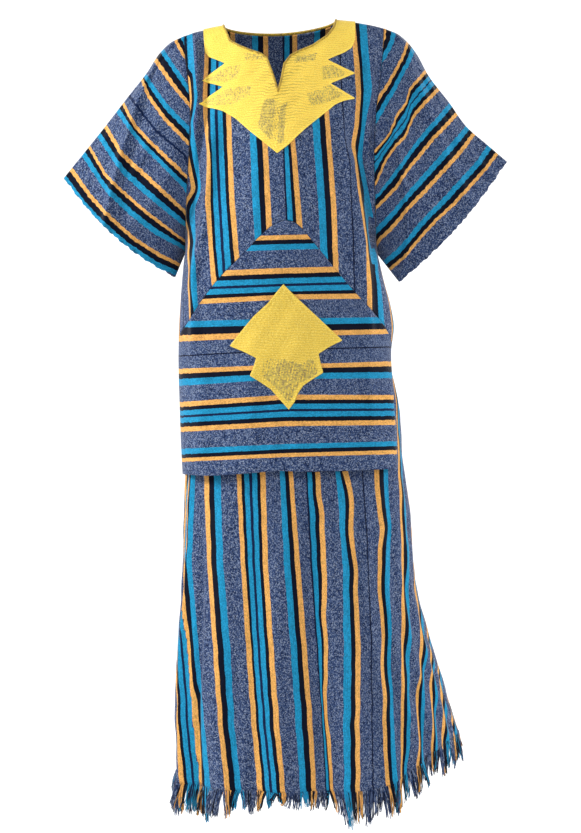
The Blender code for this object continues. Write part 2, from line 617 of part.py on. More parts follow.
def skirt_point(compass, drop, outset=0.0):
    """Point of the skirt at a compass angle in degrees, 0 in front and 90 at +X.

    Each level is a flattened ellipse with its own reach to each side. The pleats move it out
    and in along the way the cloth faces, and grow from where they begin to the hem.
    """
    compass, drop = np.broadcast_arrays(np.asarray(compass, float), np.asarray(drop, float))
    turn = np.radians(compass)
    side = np.sin(turn)
    ahead = np.cos(turn)
    half = np.where(
        side < 0,
        smooth(drop, SKIRT_DROPS, column(SKIRT_LEVELS, "left")),
        smooth(drop, SKIRT_DROPS, column(SKIRT_LEVELS, "right")),
    )
    reach = np.where(
        ahead > 0,
        smooth(drop, SKIRT_DROPS, column(SKIRT_LEVELS, "front")),
        smooth(drop, SKIRT_DROPS, column(SKIRT_LEVELS, "back")),
    )
    arch = np.sign(ahead) * np.abs(ahead) ** 0.8
    x = half * side
    y = -reach * arch
    facing = np.stack([side / half, -ahead / reach], axis=-1)
    facing /= np.linalg.norm(facing, axis=-1, keepdims=True)
    relief = np.full(x.shape, float(outset))
    for pleat in PLEATS:
        share = np.clip((drop - SKIRT_TOP) / (SKIRT_HEM - SKIRT_TOP), 0, 1.05)
        crest = pleat.top_angle + (pleat.hem_angle - pleat.top_angle) * share
        apart = (compass - crest + 180) % 360 - 180
        width = np.degrees(pleat.width / SKIRT_RADIUS)
        grown = rise(drop, pleat.begins, SKIRT_HEM + 0.10)
        relief = relief + pleat.depth * grown * np.exp(-((apart / width) ** 2))
    return np.stack([x + relief * facing[..., 0], y + relief * facing[..., 1], -drop], axis=-1)


def hem_drop(compass):
    """Drop of the skirt's hem: level, and higher round the +X side."""
    side = np.sin(np.radians(compass))
    return SKIRT_HEM - HEM_RISE * rise(side, 0.45, 1.0)


def seam_shift(grid, half, amount):
    """A half of the skirt moved off the seam plane."""
    moved = grid.copy()
    moved[..., 1] += amount * half
    return moved


SKIRT_COLUMNS = 47       # points across each half of the skirt
SKIRT_ROWS = 11
HALVES = (("front", -90, -1), ("back", 90, 1))


def skirt_half(first_angle, half):
    compass = np.linspace(first_angle, first_angle + 180, SKIRT_COLUMNS)
    share = np.linspace(0, 1, SKIRT_ROWS)[:, None]
    drop = SKIRT_TOP + (hem_drop(compass) - SKIRT_TOP) * share
    return seam_shift(skirt_point(compass, drop), half, HALF_SEAM)


for half_name, first_angle, half in HALVES:
    grid_piece("skirt_" + half_name, skirt_half(first_angle, half), False, STRIP_CLOTH)

BAND_COLUMNS = 48
BAND_GAP = 0.00045       # between the band and the skirt, down the wall's middle
band_angles = np.arange(BAND_COLUMNS) * 360 / BAND_COLUMNS
band_drops = np.array([BAND_TOP, SKIRT_TOP - BAND_GAP])[:, None]
grid_piece("skirt_waistband", skirt_point(band_angles, band_drops), True, STRIP_CLOTH)

# The fringe: a narrow strip under each hem, with a lock drawn out of every second stretch

FRINGE_STRIP = 0.005
LOCK_LENGTH = 0.043
LOCK_UNEVEN = 0.012
LOCK_FLARE = 0.008       # how far a lock's end stands out from the wall
LOCK_SWAY = 0.5          # how uneven the flare and the lean along the hem are
LOCK_TIP = 0.45          # width of a lock's end as a share of its root's


def lock_wave(number, phase):
    """Uneven but repeatable share from -1 to 1 for a lock."""
    return float(np.sin(number * 2.399 + phase) * 0.6 + np.sin(number * 5.113 + phase) * 0.4)


def halved(line):
    """The same line with a point added in the middle of each stretch."""
    finer = np.repeat(line, 2, axis=0)[:-1]
    finer[1::2] = (line[:-1] + line[1:]) / 2
    return finer


def fringe(half_name, first_angle, half):
    """A strip below the hem with tapered locks of four sides growing from its lower edge.

    The strip follows the hem's own points, with one more in each stretch between them.
    """
    compass = np.linspace(first_angle, first_angle + 180, SKIRT_COLUMNS)
    hem = seam_shift(skirt_point(compass, hem_drop(compass)), half, HALF_SEAM)
    strip = np.stack([
        halved(hem) - (0, 0, FRINGE_GAP),
        halved(hem) - (0, 0, FRINGE_GAP + FRINGE_STRIP),
    ])
    stations = strip.shape[1]
    compass = halved(compass[:, None])[:, 0]
    top = hem_drop(compass)
    normals = skirt_point(compass, top, WALL) - skirt_point(compass, top)
    normals /= np.linalg.norm(normals, axis=-1, keepdims=True)
    shape = bmesh.new()
    rings = []
    for station in range(stations):
        out = normals[station] * WALL / 2
        corners = [
            strip[0, station] + out, strip[1, station] + out,
            strip[1, station] - out, strip[0, station] - out,
        ]
        rings.append([shape.verts.new(corner) for corner in corners])
    shape.faces.new(rings[0])
    shape.faces.new(rings[-1][::-1])
    lower = []
    for before, after in zip(rings, rings[1:]):
        for corner in range(4):
            following = (corner + 1) % 4
            face = shape.faces.new(
                (before[corner], after[corner], after[following], before[following])
            )
            if corner == 1:
                lower.append(face)
    for lock, face in enumerate(lower[1::2]):
        length = LOCK_LENGTH + LOCK_UNEVEN * lock_wave(lock, 0.3 * half)
        facing = Vector(normals[2 * lock + 1])
        along = Vector((-facing.y, facing.x, 0))
        flare = LOCK_FLARE * (1 + LOCK_SWAY * lock_wave(lock, 4.1))
        sway = along * LOCK_SWAY * LOCK_FLARE * lock_wave(lock, 1.7) + facing * flare
        end = bmesh.ops.extrude_discrete_faces(shape, faces=[face])["faces"][0]
        move_lock(end, Vector((0, 0, -length)) + sway, LOCK_TIP)
    bmesh.ops.recalc_face_normals(shape, faces=shape.faces)
    piece = new_piece("skirt_fringe_" + half_name, [], [], YARN)
    shape.to_mesh(piece.data)
    shape.free()


def move_lock(face, step, shrink):
    """A lock's end moved along and narrowed about its middle."""
    middle = face.calc_center_median()
    for corner in face.verts:
        corner.co = middle + step + (corner.co - middle) * shrink


for half_name, first_angle, half in HALVES:
    fringe(half_name, first_angle, half)
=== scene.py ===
import math
from collections import namedtuple
from functools import partial

import bpy
import numpy as np
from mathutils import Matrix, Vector


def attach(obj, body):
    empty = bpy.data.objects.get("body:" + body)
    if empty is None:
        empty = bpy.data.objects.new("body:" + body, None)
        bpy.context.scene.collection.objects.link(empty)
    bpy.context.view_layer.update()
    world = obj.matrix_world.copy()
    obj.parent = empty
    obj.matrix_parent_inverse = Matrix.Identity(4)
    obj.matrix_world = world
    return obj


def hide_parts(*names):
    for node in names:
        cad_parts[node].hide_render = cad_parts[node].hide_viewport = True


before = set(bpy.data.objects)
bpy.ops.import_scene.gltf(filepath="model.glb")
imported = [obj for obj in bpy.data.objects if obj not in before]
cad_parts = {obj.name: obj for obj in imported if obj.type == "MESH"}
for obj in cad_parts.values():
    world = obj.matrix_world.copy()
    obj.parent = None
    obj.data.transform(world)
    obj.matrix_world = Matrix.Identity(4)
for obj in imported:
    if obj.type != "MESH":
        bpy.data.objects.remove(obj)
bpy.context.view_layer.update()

# The camera: level, a little above the smock's hem, 3.2 m in front of the set.
# The photo's scale is 1.7 mm a pixel at the plane through the shoulder seams.

CAMERA_DISTANCE = 3.2
CAMERA_X = 0.01275
CAMERA_Z = -0.669
PIXEL = 0.0017
PHOTO_WIDTH = 581
PHOTO_HEIGHT = 833
SENSOR = 36.0


def photo_pixels(points):
    """Pixel x and y of points: their offset from the camera's axis over their distance."""
    scale = CAMERA_DISTANCE / (CAMERA_DISTANCE + points[..., 1]) / PIXEL
    across = PHOTO_WIDTH / 2 + (points[..., 0] - CAMERA_X) * scale
    down = PHOTO_HEIGHT / 2 - (points[..., 2] - CAMERA_Z) * scale
    return across, down


camera_data = bpy.data.cameras.new("camera")
camera_data.sensor_fit = "VERTICAL"
camera_data.sensor_height = SENSOR
camera_data.lens = SENSOR * CAMERA_DISTANCE / (PHOTO_HEIGHT * PIXEL)
camera = bpy.data.objects.new("camera", camera_data)
camera.location = (CAMERA_X, -CAMERA_DISTANCE, CAMERA_Z)
camera.rotation_euler = (math.radians(90), 0, 0)
bpy.context.scene.collection.objects.link(camera)
bpy.context.scene.camera = camera

# The studio: a round pale floor that curves up into a wall, painted matt white and glowing
# towards the back, with two soft lights beside the camera, one at each side and one above.

FLOOR_HEIGHT = -1.45
FLOOR_RADIUS = 6.2
SWEEP_RADIUS = 0.9
SWEEP_TOP = 4.2
SWEEP_POINTS = 65            # along each side of the floor's grid
BEND_POINTS = 17
SWEEP_PAINT = "#B4B4B4"
SWEEP_WHITE = "#FAFAFA"
GLOWS = (0.05, 0.86)         # strength of the paint's glow in front and at the back
GLOW_DEPTHS = (-3.0, 0.4)    # and the y between which it grows
WORLD_GLOW = 0.25


def linear(code):
    """Linear colour of an sRGB hex code."""
    channels = [int(code[i:i + 2], 16) / 255 for i in (1, 3, 5)]
    return [c / 12.92 if c <= 0.04045 else ((c + 0.055) / 1.055) ** 2.4 for c in channels] + [1.0]


def add_node(tree, kind, inputs=None, **settings):
    """A node with its settings and its inputs, each a value or another node's socket."""
    node = tree.nodes.new(kind)
    for name, setting in settings.items():
        setattr(node, name, setting)
    for name, source in (inputs or {}).items():
        if isinstance(source, bpy.types.NodeSocket):
            tree.links.new(source, node.inputs[name])
        else:
            node.inputs[name].default_value = source
    return node


def new_material(name, rough, values=None):
    """A material's tree and its shader, with the shader's constant values set."""
    material = bpy.data.materials.new(name)
    material.use_nodes = True
    shader = material.node_tree.nodes["Principled BSDF"]
    shader.inputs["Roughness"].default_value = rough
    for socket, value in (values or {}).items():
        shader.inputs[socket].default_value = value
    return material, material.node_tree, shader


def quads_of(rows, columns, flip=False):
    """Corner numbers of a grid's quads: down, along, up and back."""
    first = (np.arange(rows - 1)[:, None] * columns + np.arange(columns - 1)).reshape(-1, 1)
    corners = first + np.array([0, columns, columns + 1, 1])
    return corners[:, ::-1] if flip else corners


def mesh_object(name, points, faces):
    """An object at the origin whose mesh holds these points and faces."""
    mesh = bpy.data.meshes.new(name)
    mesh.from_pydata(np.asarray(points).reshape(-1, 3).tolist(), [], np.asarray(faces).tolist())
    mesh.shade_smooth()
    piece = bpy.data.objects.new(name, mesh)
    bpy.context.scene.collection.objects.link(piece)
    return piece


turn = np.linspace(0, math.pi / 2, BEND_POINTS)
profile = np.vstack([
    [0, FLOOR_HEIGHT],
    np.stack([
        FLOOR_RADIUS + SWEEP_RADIUS * np.sin(turn),
        FLOOR_HEIGHT + SWEEP_RADIUS * (1 - np.cos(turn)),
    ], axis=-1),
    [FLOOR_RADIUS + SWEEP_RADIUS, SWEEP_TOP],
])
lengths = np.append(0, np.cumsum(np.linalg.norm(np.diff(profile, axis=0), axis=1)))
across, ahead = np.meshgrid(*[np.linspace(-1, 1, SWEEP_POINTS)] * 2)
disc = np.stack([
    across * np.sqrt(1 - ahead ** 2 / 2),
    ahead * np.sqrt(1 - across ** 2 / 2),
], axis=-1)
share = np.linalg.norm(disc, axis=-1, keepdims=True)
radius = np.interp(share * lengths[-1], lengths, profile[:, 0])
height = np.interp(share * lengths[-1], lengths, profile[:, 1])
sweep_grid = np.concatenate([disc / np.maximum(share, 1e-9) * radius, height], axis=-1)
sweep_faces = quads_of(SWEEP_POINTS, SWEEP_POINTS, flip=True)
sweep = mesh_object("studio_floor", sweep_grid, sweep_faces)
sweep_paint, sweep_tree, sweep_shader = new_material("matt_white_studio_paint", 0.9, {
    "Base Color": linear(SWEEP_PAINT), "Emission Color": linear(SWEEP_WHITE),
})
lie = add_node(sweep_tree, "ShaderNodeTexCoord")
depth = add_node(sweep_tree, "ShaderNodeSeparateXYZ", {"Vector": lie.outputs["Object"]})
glow = add_node(sweep_tree, "ShaderNodeMapRange", {
    "Value": depth.outputs["Y"], "From Min": GLOW_DEPTHS[0], "From Max": GLOW_DEPTHS[1],
    "To Min": GLOWS[0], "To Max": GLOWS[1],
})
sweep_tree.links.new(glow.outputs["Result"], sweep_shader.inputs["Emission Strength"])
sweep.data.materials.append(sweep_paint)

world = bpy.data.worlds.new("studio")
world.use_nodes = True
background = world.node_tree.nodes["Background"]
background.inputs["Color"].default_value = (1, 1, 1, 1)
background.inputs["Strength"].default_value = WORLD_GLOW
bpy.context.scene.world = world
bpy.context.scene.view_settings.view_transform = "Standard"

# A row for each light: its place, the side of its square and its power in watts.
Lamp = namedtuple("Lamp", "name x y z size power")
LAMPS = [Lamp(*row) for row in (
    ("key", -0.9, -2.9, 1.0, 0.8, 31.5),
    ("fill", 1.3, -3.0, 0.0, 1.5, 18.5),
    ("left_edge", -2.2, -0.45, 0.5, 0.5, 46),
    ("right_edge", 1.9, 0.2, -0.3, 0.8, 18),
    ("top", 0.0, -0.4, 1.9, 1.4, 8),
)]
AIM = Vector((0.0, 0.0, -0.60))
for lamp in LAMPS:
    light = bpy.data.lights.new(lamp.name, "AREA")
    light.size = lamp.size
    light.energy = lamp.power
    light_object = bpy.data.objects.new(lamp.name, light)
    light_object.location = (lamp.x, lamp.y, lamp.z)
    towards = AIM - light_object.location
    light_object.rotation_euler = towards.to_track_quat("-Z", "Y").to_euler()
    bpy.context.scene.collection.objects.link(light_object)

# The smock's front above the chevron seam: handwoven cotton strips sewn side by side, cut as
# one panel with the neck and its slit cut out, sewn to the back along the shoulders and sides.

SMOCK_LENGTH = 0.7585
HALF_SEAM = 0.00032
BACK_ARMHOLE = 0.90
VENT_TOP = 0.538
VENT_FULL = 0.625
LEFT_VENT = 0.010
RIGHT_VENT = 0.066
SHOULDER_SLOPE = 0.017
SHOULDER_TILT = 0.042
SHOULDER_FADE = 0.26
SHOULDER_HALF = 0.167
ARCH_END = 0.28
TUBE_START = 0.42
TUBE_FLATNESS = 0.32
EDGE_POWER = 16              # of the angle with which the folds fade at a panel's sides
HALF_CLOTH = 0.205
CLOTH = 0.0014               # thickness of the strip cloth
JOIN_WITHIN = 0.00001
# Waves of the limp cloth: size, pace across and down, and how much the phase turns them.
SLACK_WAVES = ((0.00055, 92, 21, 1.0), (0.00045, 61, -74, 2.1), (0.00030, 173, 118, 3.7))

# A row for each level: its drop below the shoulder seams, and how far the cloth reaches to
# the left and right, to the front and to the back.
Level = namedtuple("Level", "drop left right front back")
SMOCK_LEVELS = [Level(*row) for row in (
    (0.000, 0.165, 0.170, 0.000, 0.000), (0.003, 0.165, 0.170, 0.024, 0.022),
    (0.015, 0.165, 0.169, 0.050, 0.045), (0.045, 0.163, 0.167, 0.073, 0.064),
    (0.090, 0.158, 0.163, 0.091, 0.080), (0.150, 0.154, 0.156, 0.109, 0.093),
    (0.220, 0.156, 0.152, 0.127, 0.103), (0.300, 0.161, 0.154, 0.137, 0.107),
    (0.394, 0.166, 0.160, 0.139, 0.107), (0.440, 0.170, 0.170, 0.139, 0.108),
    (0.480, 0.173, 0.181, 0.139, 0.110), (0.515, 0.175, 0.187, 0.139, 0.112),
    (0.560, 0.176, 0.182, 0.139, 0.115), (0.640, 0.174, 0.184, 0.140, 0.120),
    (0.700, 0.172, 0.188, 0.141, 0.123), (0.780, 0.168, 0.191, 0.1435, 0.1265),
)]

# A row for each fold: where its crest starts and ends, how much it bends between them, its
# width on the -X and on the +X side of the crest, and how far it stands out.
Fold = namedtuple("Fold", "x_top drop_top x_end drop_end bend left right depth")
FRONT_FOLDS = [Fold(*row) for row in (
    (0.100, 0.205, 0.140, 0.420, 0.009, 0.024, 0.0050, 0.018),
    (0.130, 0.200, 0.153, 0.420, 0.006, 0.008, 0.0160, -0.012),
    (0.140, 0.400, 0.146, 0.560, 0.001, 0.020, 0.0060, 0.010),
    (0.158, 0.050, 0.143, 0.240, -0.006, 0.012, 0.0050, 0.013),
    (0.134, 0.060, 0.124, 0.200, -0.002, 0.007, 0.0080, -0.005),
    (0.150, 0.240, 0.158, 0.420, 0.003, 0.005, 0.0050, 0.009),
    (-0.150, 0.010, -0.147, 0.205, 0.005, 0.007, 0.0090, 0.018),
    (-0.132, 0.020, -0.138, 0.230, 0.004, 0.008, 0.0080, -0.006),
    (-0.116, 0.165, -0.152, 0.440, 0.006, 0.0045, 0.0130, 0.016),
    (-0.134, 0.190, -0.160, 0.360, 0.004, 0.008, 0.0050, -0.008),
    (-0.151, 0.400, -0.152, 0.580, 0.002, 0.0050, 0.0110, 0.012),
    (-0.140, 0.500, -0.136, 0.790, 0.002, 0.014, 0.0160, 0.006),
    (-0.052, 0.560, -0.060, 0.800, 0.004, 0.022, 0.0200, 0.004),
    (0.096, 0.560, 0.104, 0.800, -0.004, 0.024, 0.0240, 0.005),
    (0.092, 0.150, 0.101, 0.330, 0.003, 0.006, 0.0060, 0.0020),
    (0.126, 0.090, 0.117, 0.230, 0.004, 0.006, 0.0050, 0.0030),
    (0.060, 0.235, 0.078, 0.400, 0.002, 0.010, 0.0090, 0.0016),
    (0.016, 0.240, 0.012, 0.350, 0.000, 0.007, 0.0070, 0.0013),
    (-0.038, 0.240, -0.047, 0.380, -0.002, 0.009, 0.0100, 0.0017),
    (-0.082, 0.200, -0.086, 0.430, -0.003, 0.010, 0.0120, 0.0022),
    (-0.150, 0.150, -0.146, 0.300, 0.002, 0.005, 0.0060, 0.0026),
    (-0.155, 0.330, -0.160, 0.520, -0.002, 0.005, 0.0070, 0.0024),
    (0.150, 0.360, 0.160, 0.540, 0.003, 0.006, 0.0060, 0.0030),
    (-0.100, 0.520, -0.112, 0.720, 0.004, 0.010, 0.0080, 0.0014),
    (0.020, 0.640, 0.024, 0.800, 0.002, 0.014, 0.0160, 0.0024),
    (0.140, 0.560, 0.149, 0.790, 0.003, 0.009, 0.0110, 0.0030),
    (-0.014, 0.660, -0.018, 0.800, 0.000, 0.010, 0.0110, 0.0016),
)]
BACK_FOLDS = [Fold(*row) for row in (
    (-0.110, 0.150, -0.120, 0.520, -0.004, 0.018, 0.0160, 0.009),
    (0.106, 0.170, 0.118, 0.560, 0.005, 0.017, 0.0190, 0.009),
    (-0.060, 0.480, -0.066, 0.800, 0.004, 0.022, 0.0180, 0.006),
    (0.052, 0.450, 0.070, 0.800, -0.005, 0.020, 0.0220, 0.006),
    (-0.146, 0.060, -0.132, 0.360, 0.003, 0.009, 0.0100, 0.006),
    (0.148, 0.050, 0.134, 0.340, -0.004, 0.010, 0.0090, 0.007),
    (-0.030, 0.110, -0.036, 0.420, -0.003, 0.012, 0.0140, 0.0022),
    (0.038, 0.140, 0.030, 0.390, 0.004, 0.013, 0.0110, 0.0020),
    (-0.088, 0.300, -0.094, 0.640, 0.003, 0.008, 0.0100, 0.0026),
    (0.084, 0.360, 0.096, 0.660, -0.002, 0.009, 0.0080, 0.0024),
    (0.004, 0.560, 0.010, 0.800, 0.002, 0.015, 0.0140, 0.0030),
    (-0.140, 0.520, -0.144, 0.800, -0.004, 0.010, 0.0110, 0.0034),
    (0.140, 0.580, 0.146, 0.800, 0.003, 0.010, 0.0120, 0.0030),
)]
# A row for each height of the armhole: its drop, and how far its edge bows from the seam.
Opening = namedtuple("Opening", "drop bow")
ARMHOLE = [Opening(*row) for row in (
    (0.000, 0.000), (0.003, 0.018), (0.015, 0.031), (0.045, 0.043),
    (0.090, 0.052), (0.150, 0.058), (0.220, 0.058), (0.300, 0.045),
    (0.350, 0.026), (0.394, 0.000),
)]


def smooth(at, stations, values):
    """Cubic through the stations, whose slope at each comes from its neighbours."""
    stations = np.asarray(stations, float)
    values = np.asarray(values, float)
    slopes = np.gradient(values, stations)
    at = np.clip(at, stations[0], stations[-1])
    left = np.clip(np.searchsorted(stations, at) - 1, 0, len(stations) - 2)
    step = stations[left + 1] - stations[left]
    t = (at - stations[left]) / step
    start = (1 + 2 * t) * (1 - t) ** 2 * values[left] + t * (1 - t) ** 2 * step * slopes[left]
    end = t * t * (3 - 2 * t) * values[left + 1] - t * t * (1 - t) * step * slopes[left + 1]
    return start + end


def rise(at, low, high):
    """Soft step from 0 at low to 1 at high: 3t squared less 2t cubed."""
    t = np.clip((at - low) / (high - low), 0, 1)
    return t * t * (3 - 2 * t)


def column(levels, name):
    """One column of a table of named rows."""
    return np.array([getattr(level, name) for level in levels])


SMOCK_DROPS = column(SMOCK_LEVELS, "drop")
SMOCK_DOWNS = np.concatenate(
    ([0.0], np.cumsum(np.hypot(np.diff(SMOCK_DROPS), np.diff(column(SMOCK_LEVELS, "front")))))
)
HEM_DOWN = float(np.interp(SMOCK_LENGTH, SMOCK_DROPS, SMOCK_DOWNS))


def unit(vectors):
    """The same directions, one long."""
    return vectors / np.maximum(np.linalg.norm(vectors, axis=-1, keepdims=True), 1e-12)


def side_reach(levels, stations, at, left):
    """Half width to the -X side where left is true, else to the +X side."""
    return np.where(
        left,
        smooth(at, stations, column(levels, "left")),
        smooth(at, stations, column(levels, "right")),
    )


def fold_relief(folds, x, drop):
    """Sum of ridges: each falls off as exp(-|t|^1.7) of its own width on either side."""
    relief = np.zeros(np.broadcast(x, drop).shape)
    for fold in folds:
        along = (drop - fold.drop_top) / (fold.drop_end - fold.drop_top)
        bend = fold.bend * np.sin(np.pi * np.clip(along, 0, 1))
        apart = x - fold.x_top - (fold.x_end - fold.x_top) * along - bend
        width = np.where(apart < 0, fold.left, fold.right)
        ends = rise(along, -0.12, 0.22) * (1 - rise(along, 0.78, 1.12))
        relief = relief + fold.depth * ends * np.exp(-(np.abs(apart) / width) ** 1.7)
    return relief


def slack(x, drop, phase):
    """Slight unevenness of limp cloth, a sum of three slanting waves."""
    return sum(
        size * np.sin(x * across + drop * down + turned * phase)
        for size, across, down, turned in SLACK_WAVES
    )


def shoulder_height(x):
    """Height of the shoulder seam: a slight tilt, and a fall with the cube of the distance."""
    return SHOULDER_TILT * x - SHOULDER_SLOPE * (np.abs(x) / SHOULDER_HALF) ** 3


def edge_bow(angle, drop, back):
    """Distance of a panel's side edge from the seam plane, at the armhole and at the vent."""
    armhole = smooth(drop, column(ARMHOLE, "drop"), column(ARMHOLE, "bow"))
    armhole = np.clip(armhole, 0, None) * (BACK_ARMHOLE if back else 1)
    vent = np.where(angle < 0, LEFT_VENT, RIGHT_VENT) * rise(drop, VENT_TOP, VENT_FULL)
    return armhole + vent


def smock_point(angle, down, back=False):
    """Point of the smock: angle runs from -1 to 1 across a panel, down along the cloth.

    Across, a panel is a flattened ellipse below the underarm and a shallow arch above it,
    between side edges that bow apart at the armholes and at the vents. Folds move it out.
    """
    angle, down = np.broadcast_arrays(np.asarray(angle, float), np.asarray(down, float))
    drop = smooth(down, SMOCK_DOWNS, SMOCK_DROPS)
    half = side_reach(SMOCK_LEVELS, SMOCK_DOWNS, down, angle < 0)
    tube = rise(drop, ARCH_END, TUBE_START)
    quarter = np.pi / 2 * angle
    x = half * ((1 - tube) * angle + tube * np.sin(quarter))
    reach = smooth(down, SMOCK_DOWNS, column(SMOCK_LEVELS, "back" if back else "front"))
    edge = edge_bow(angle, drop, back)
    arch = np.clip(np.cos(quarter), 0, 1) ** (1 - TUBE_FLATNESS * tube)
    relief = fold_relief(BACK_FOLDS if back else FRONT_FOLDS, x, drop)
    relief = relief + slack(x, drop, 1.3 if back else 0.4) * rise(drop, 0.01, 0.06)
    out = edge + (reach - edge) * arch + relief * (1 - angle ** EDGE_POWER)
    height = shoulder_height(x) * (1 - rise(drop, 0, SHOULDER_FADE)) - drop
    y = out + HALF_SEAM if back else -out - HALF_SEAM
    return np.stack([x, y, height], axis=-1)


HEIGHT_ROUNDS = 40           # of correcting the drop that gives a point its height
DOWN_ROUNDS = 8              # and the way down the cloth that gives it that drop
ANGLE_STEPS = 801            # angles across a panel, between which the point's is found


def smock_pattern(x, height):
    """Angle and down of the place on a smock panel that has this x and height."""
    x = np.asarray(x, float)
    height = np.asarray(height, float)
    drop = np.clip(-height, 0, None)
    for _ in range(HEIGHT_ROUNDS):
        fade = 1 - rise(drop, 0, SHOULDER_FADE)
        drop = np.clip(shoulder_height(x) * fade - height, 0, None)
    down = np.interp(drop, SMOCK_DROPS, SMOCK_DOWNS)
    for _ in range(DOWN_ROUNDS):
        down = down - (smooth(down, SMOCK_DOWNS, SMOCK_DROPS) - drop)
        down = np.clip(down, 0, SMOCK_DOWNS[-1])
    grid = np.linspace(-1, 1, ANGLE_STEPS)
    angles = [
        np.interp(value, smock_point(grid, place)[:, 0], grid)
        for value, place in zip(np.atleast_1d(x), np.atleast_1d(down))
    ]
    return np.stack([np.array(angles), np.atleast_1d(down)], axis=-1)


def divided(points, pitch):
    """The same open line with points added, none further apart than the pitch."""
    points = [np.asarray(point, float) for point in points]
    line = [points[0]]
    for start, end in zip(points, points[1:]):
        steps = max(1, int(np.ceil(np.linalg.norm(end - start) / pitch)))
        line += [start + (end - start) * step / steps for step in range(1, steps + 1)]
    return np.array(line)


def run_along(grid, axis):
    """Distance along each line of a grid, from its first point, the sum of its steps."""
    steps = np.linalg.norm(np.diff(grid, axis=axis), axis=-1)
    pad = [(0, 0), (0, 0)]
    pad[axis] = (1, 0)
    return np.pad(np.cumsum(steps, axis=axis), pad)


def line_at(line, at):
    """Second coordinate of a line of points at values of the first, straight past its ends."""
    first, second = np.array(line, float).T
    before = second[0] + (at - first[0]) * (second[1] - second[0]) / (first[1] - first[0])
    after = second[-1] + (at - first[-1]) * (second[-1] - second[-2]) / (first[-1] - first[-2])
    between = np.interp(at, first, second)
    return np.where(at < first[0], before, np.where(at > first[-1], after, between))


EVENING_ROUNDS = 43          # of evening out where the cloth isn't firm
FIRM_ROUNDS = 3              # and where it is
TRUST = (90, 260)            # pixels of photo to a metre of cloth: not trusted, fully trusted


def even_out(lines):
    """Each line of a grid but the first and last becomes a mean of itself and the two beside."""
    lines[1:-1] = (lines[:-2] + 2 * lines[1:-1] + lines[2:]) / 4


def woven_places(along, stripes, ahead, firm=1.0):
    """Place across the woven strip at each point of the rows of a grid.

    ahead(line) says how far each point lies past a stripe's edge as it is seen. Where a row
    meets the edges its places are theirs, less so the more the cloth turns away, and they
    run in true measure past the outermost; then each column is evened out, a little where
    it is firm and more elsewhere.
    """
    values = [place for place, _ in stripes]
    past = np.stack([ahead(line) for _, line in stripes])
    moved = np.zeros(along.shape)
    for row in range(len(along)):
        seen = [k for k in range(len(values)) if past[k, row, 0] < 0 < past[k, row, -1]]
        if not seen:
            moved[row] = moved[row - 1]
            continue
        met = np.array([
            np.interp(0, np.maximum.accumulate(past[k, row]), along[row]) for k in seen
        ])
        met = np.maximum.accumulate(met + 1e-6 * np.arange(len(met)))
        trust = np.array([
            rise(np.interp(met[j], along[row], np.gradient(past[k, row], along[row])), *TRUST)
            for j, k in enumerate(seen)
        ])
        shifts = np.array([values[k] for k in seen]) - met
        best = int(np.argmax(trust))
        for way, end in ((1, len(seen)), (-1, -1)):
            for j in range(best + way, end, way):
                shifts[j] = shifts[j - way] + trust[j] * (shifts[j] - shifts[j - way])
        moved[row] = np.interp(along[row], met, shifts)
    for done in range(EVENING_ROUNDS):
        if done == FIRM_ROUNDS:
            little = moved.copy()
        even_out(moved)
    return along + moved + (little - moved) * firm


def give_map(piece, name, u, v, faces, shift=0.0):
    """A UV map in metres with a value for each point of the grid, shifted for each face."""
    layer = piece.data.uv_layers.new(name=name)
    corners = np.asarray(faces).reshape(-1)
    shifts = np.repeat(np.broadcast_to(np.ravel(shift), len(faces)), 4)
    pairs = np.stack([u.reshape(-1)[corners] + shifts, v.reshape(-1)[corners]], axis=-1)
    layer.data.foreach_set("uv", pairs.astype(np.float32).reshape(-1))


def weld(piece, name):
    """Points that meet are joined, before a wall is given."""
    join = piece.modifiers.new(name, "WELD")
    join.merge_threshold = JOIN_WITHIN
    piece.modifiers.move(len(piece.modifiers) - 1, 0)


def thicken(piece, wall):
    """A wall of this thickness, half on either side."""
    solidify = piece.modifiers.new("wall", "SOLIDIFY")
    solidify.thickness = wall
    solidify.offset = 0


def cloth_piece(
    name, grid, places, warp, cloth, flip=False, other=None, beside=None, shift=0.0, repeat=0.0
):
    """A grid of strip cloth with its maps.

    "weave" holds the place across the strip and the distance along its warp, "seam" the
    other strip's place and the distance past the seam between the two. Shift and repeat
    move the places of whole faces, where one strip's plain part runs into another's.
    """
    faces = quads_of(*grid.shape[:2], flip=flip)
    piece = mesh_object(name, grid, faces)
    other = places if other is None else other
    beside = np.full(places.shape, -1.0) if beside is None else beside
    give_map(piece, "weave", places, warp, faces, shift)
    give_map(piece, "seam", other, beside, faces, repeat)
    piece.data.materials.append(cloth)
    thicken(piece, CLOTH)
    return piece


def put_in_frame(piece, node):
    """The piece rides on the garment's one body and stands for its CAD node."""
    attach(piece, "root")
    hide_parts(node)


# The woven strip, from edge to edge: each stripe's kind and width in millimetres.
STRIP = (
    ("edge", 1.4), ("grey", 25.1), ("orange", 8.2), ("navy", 9.0), ("blue", 10.5),
    ("grey", 29.3), ("orange", 8.2), ("navy", 5.4), ("blue", 8.4), ("line", 3.6),
    ("blue", 8.4), ("navy", 5.4), ("orange", 8.2), ("grey", 29.3), ("blue", 10.5),
    ("navy", 9.0), ("orange", 8.2), ("grey", 25.1), ("edge", 1.4),
)
YARNS = {
    "edge": "#10162E", "grey": "#516489", "orange": "#DFA55A", "navy": "#080E20",
    "blue": "#1F8AB6", "line": "#0F1F42",
}
SPECKLES = (
    (0.0, "#131E38"), (0.30, "#28385E"), (0.52, "#394B72"), (0.74, "#546588"), (0.90, "#7F8BA3"),
)
SPECKLE_ACROSS = 0.00125     # size of a speckle across the strip; real threads are 0.9 mm
SPECKLE_ALONG = 0.0016       # and along the warp
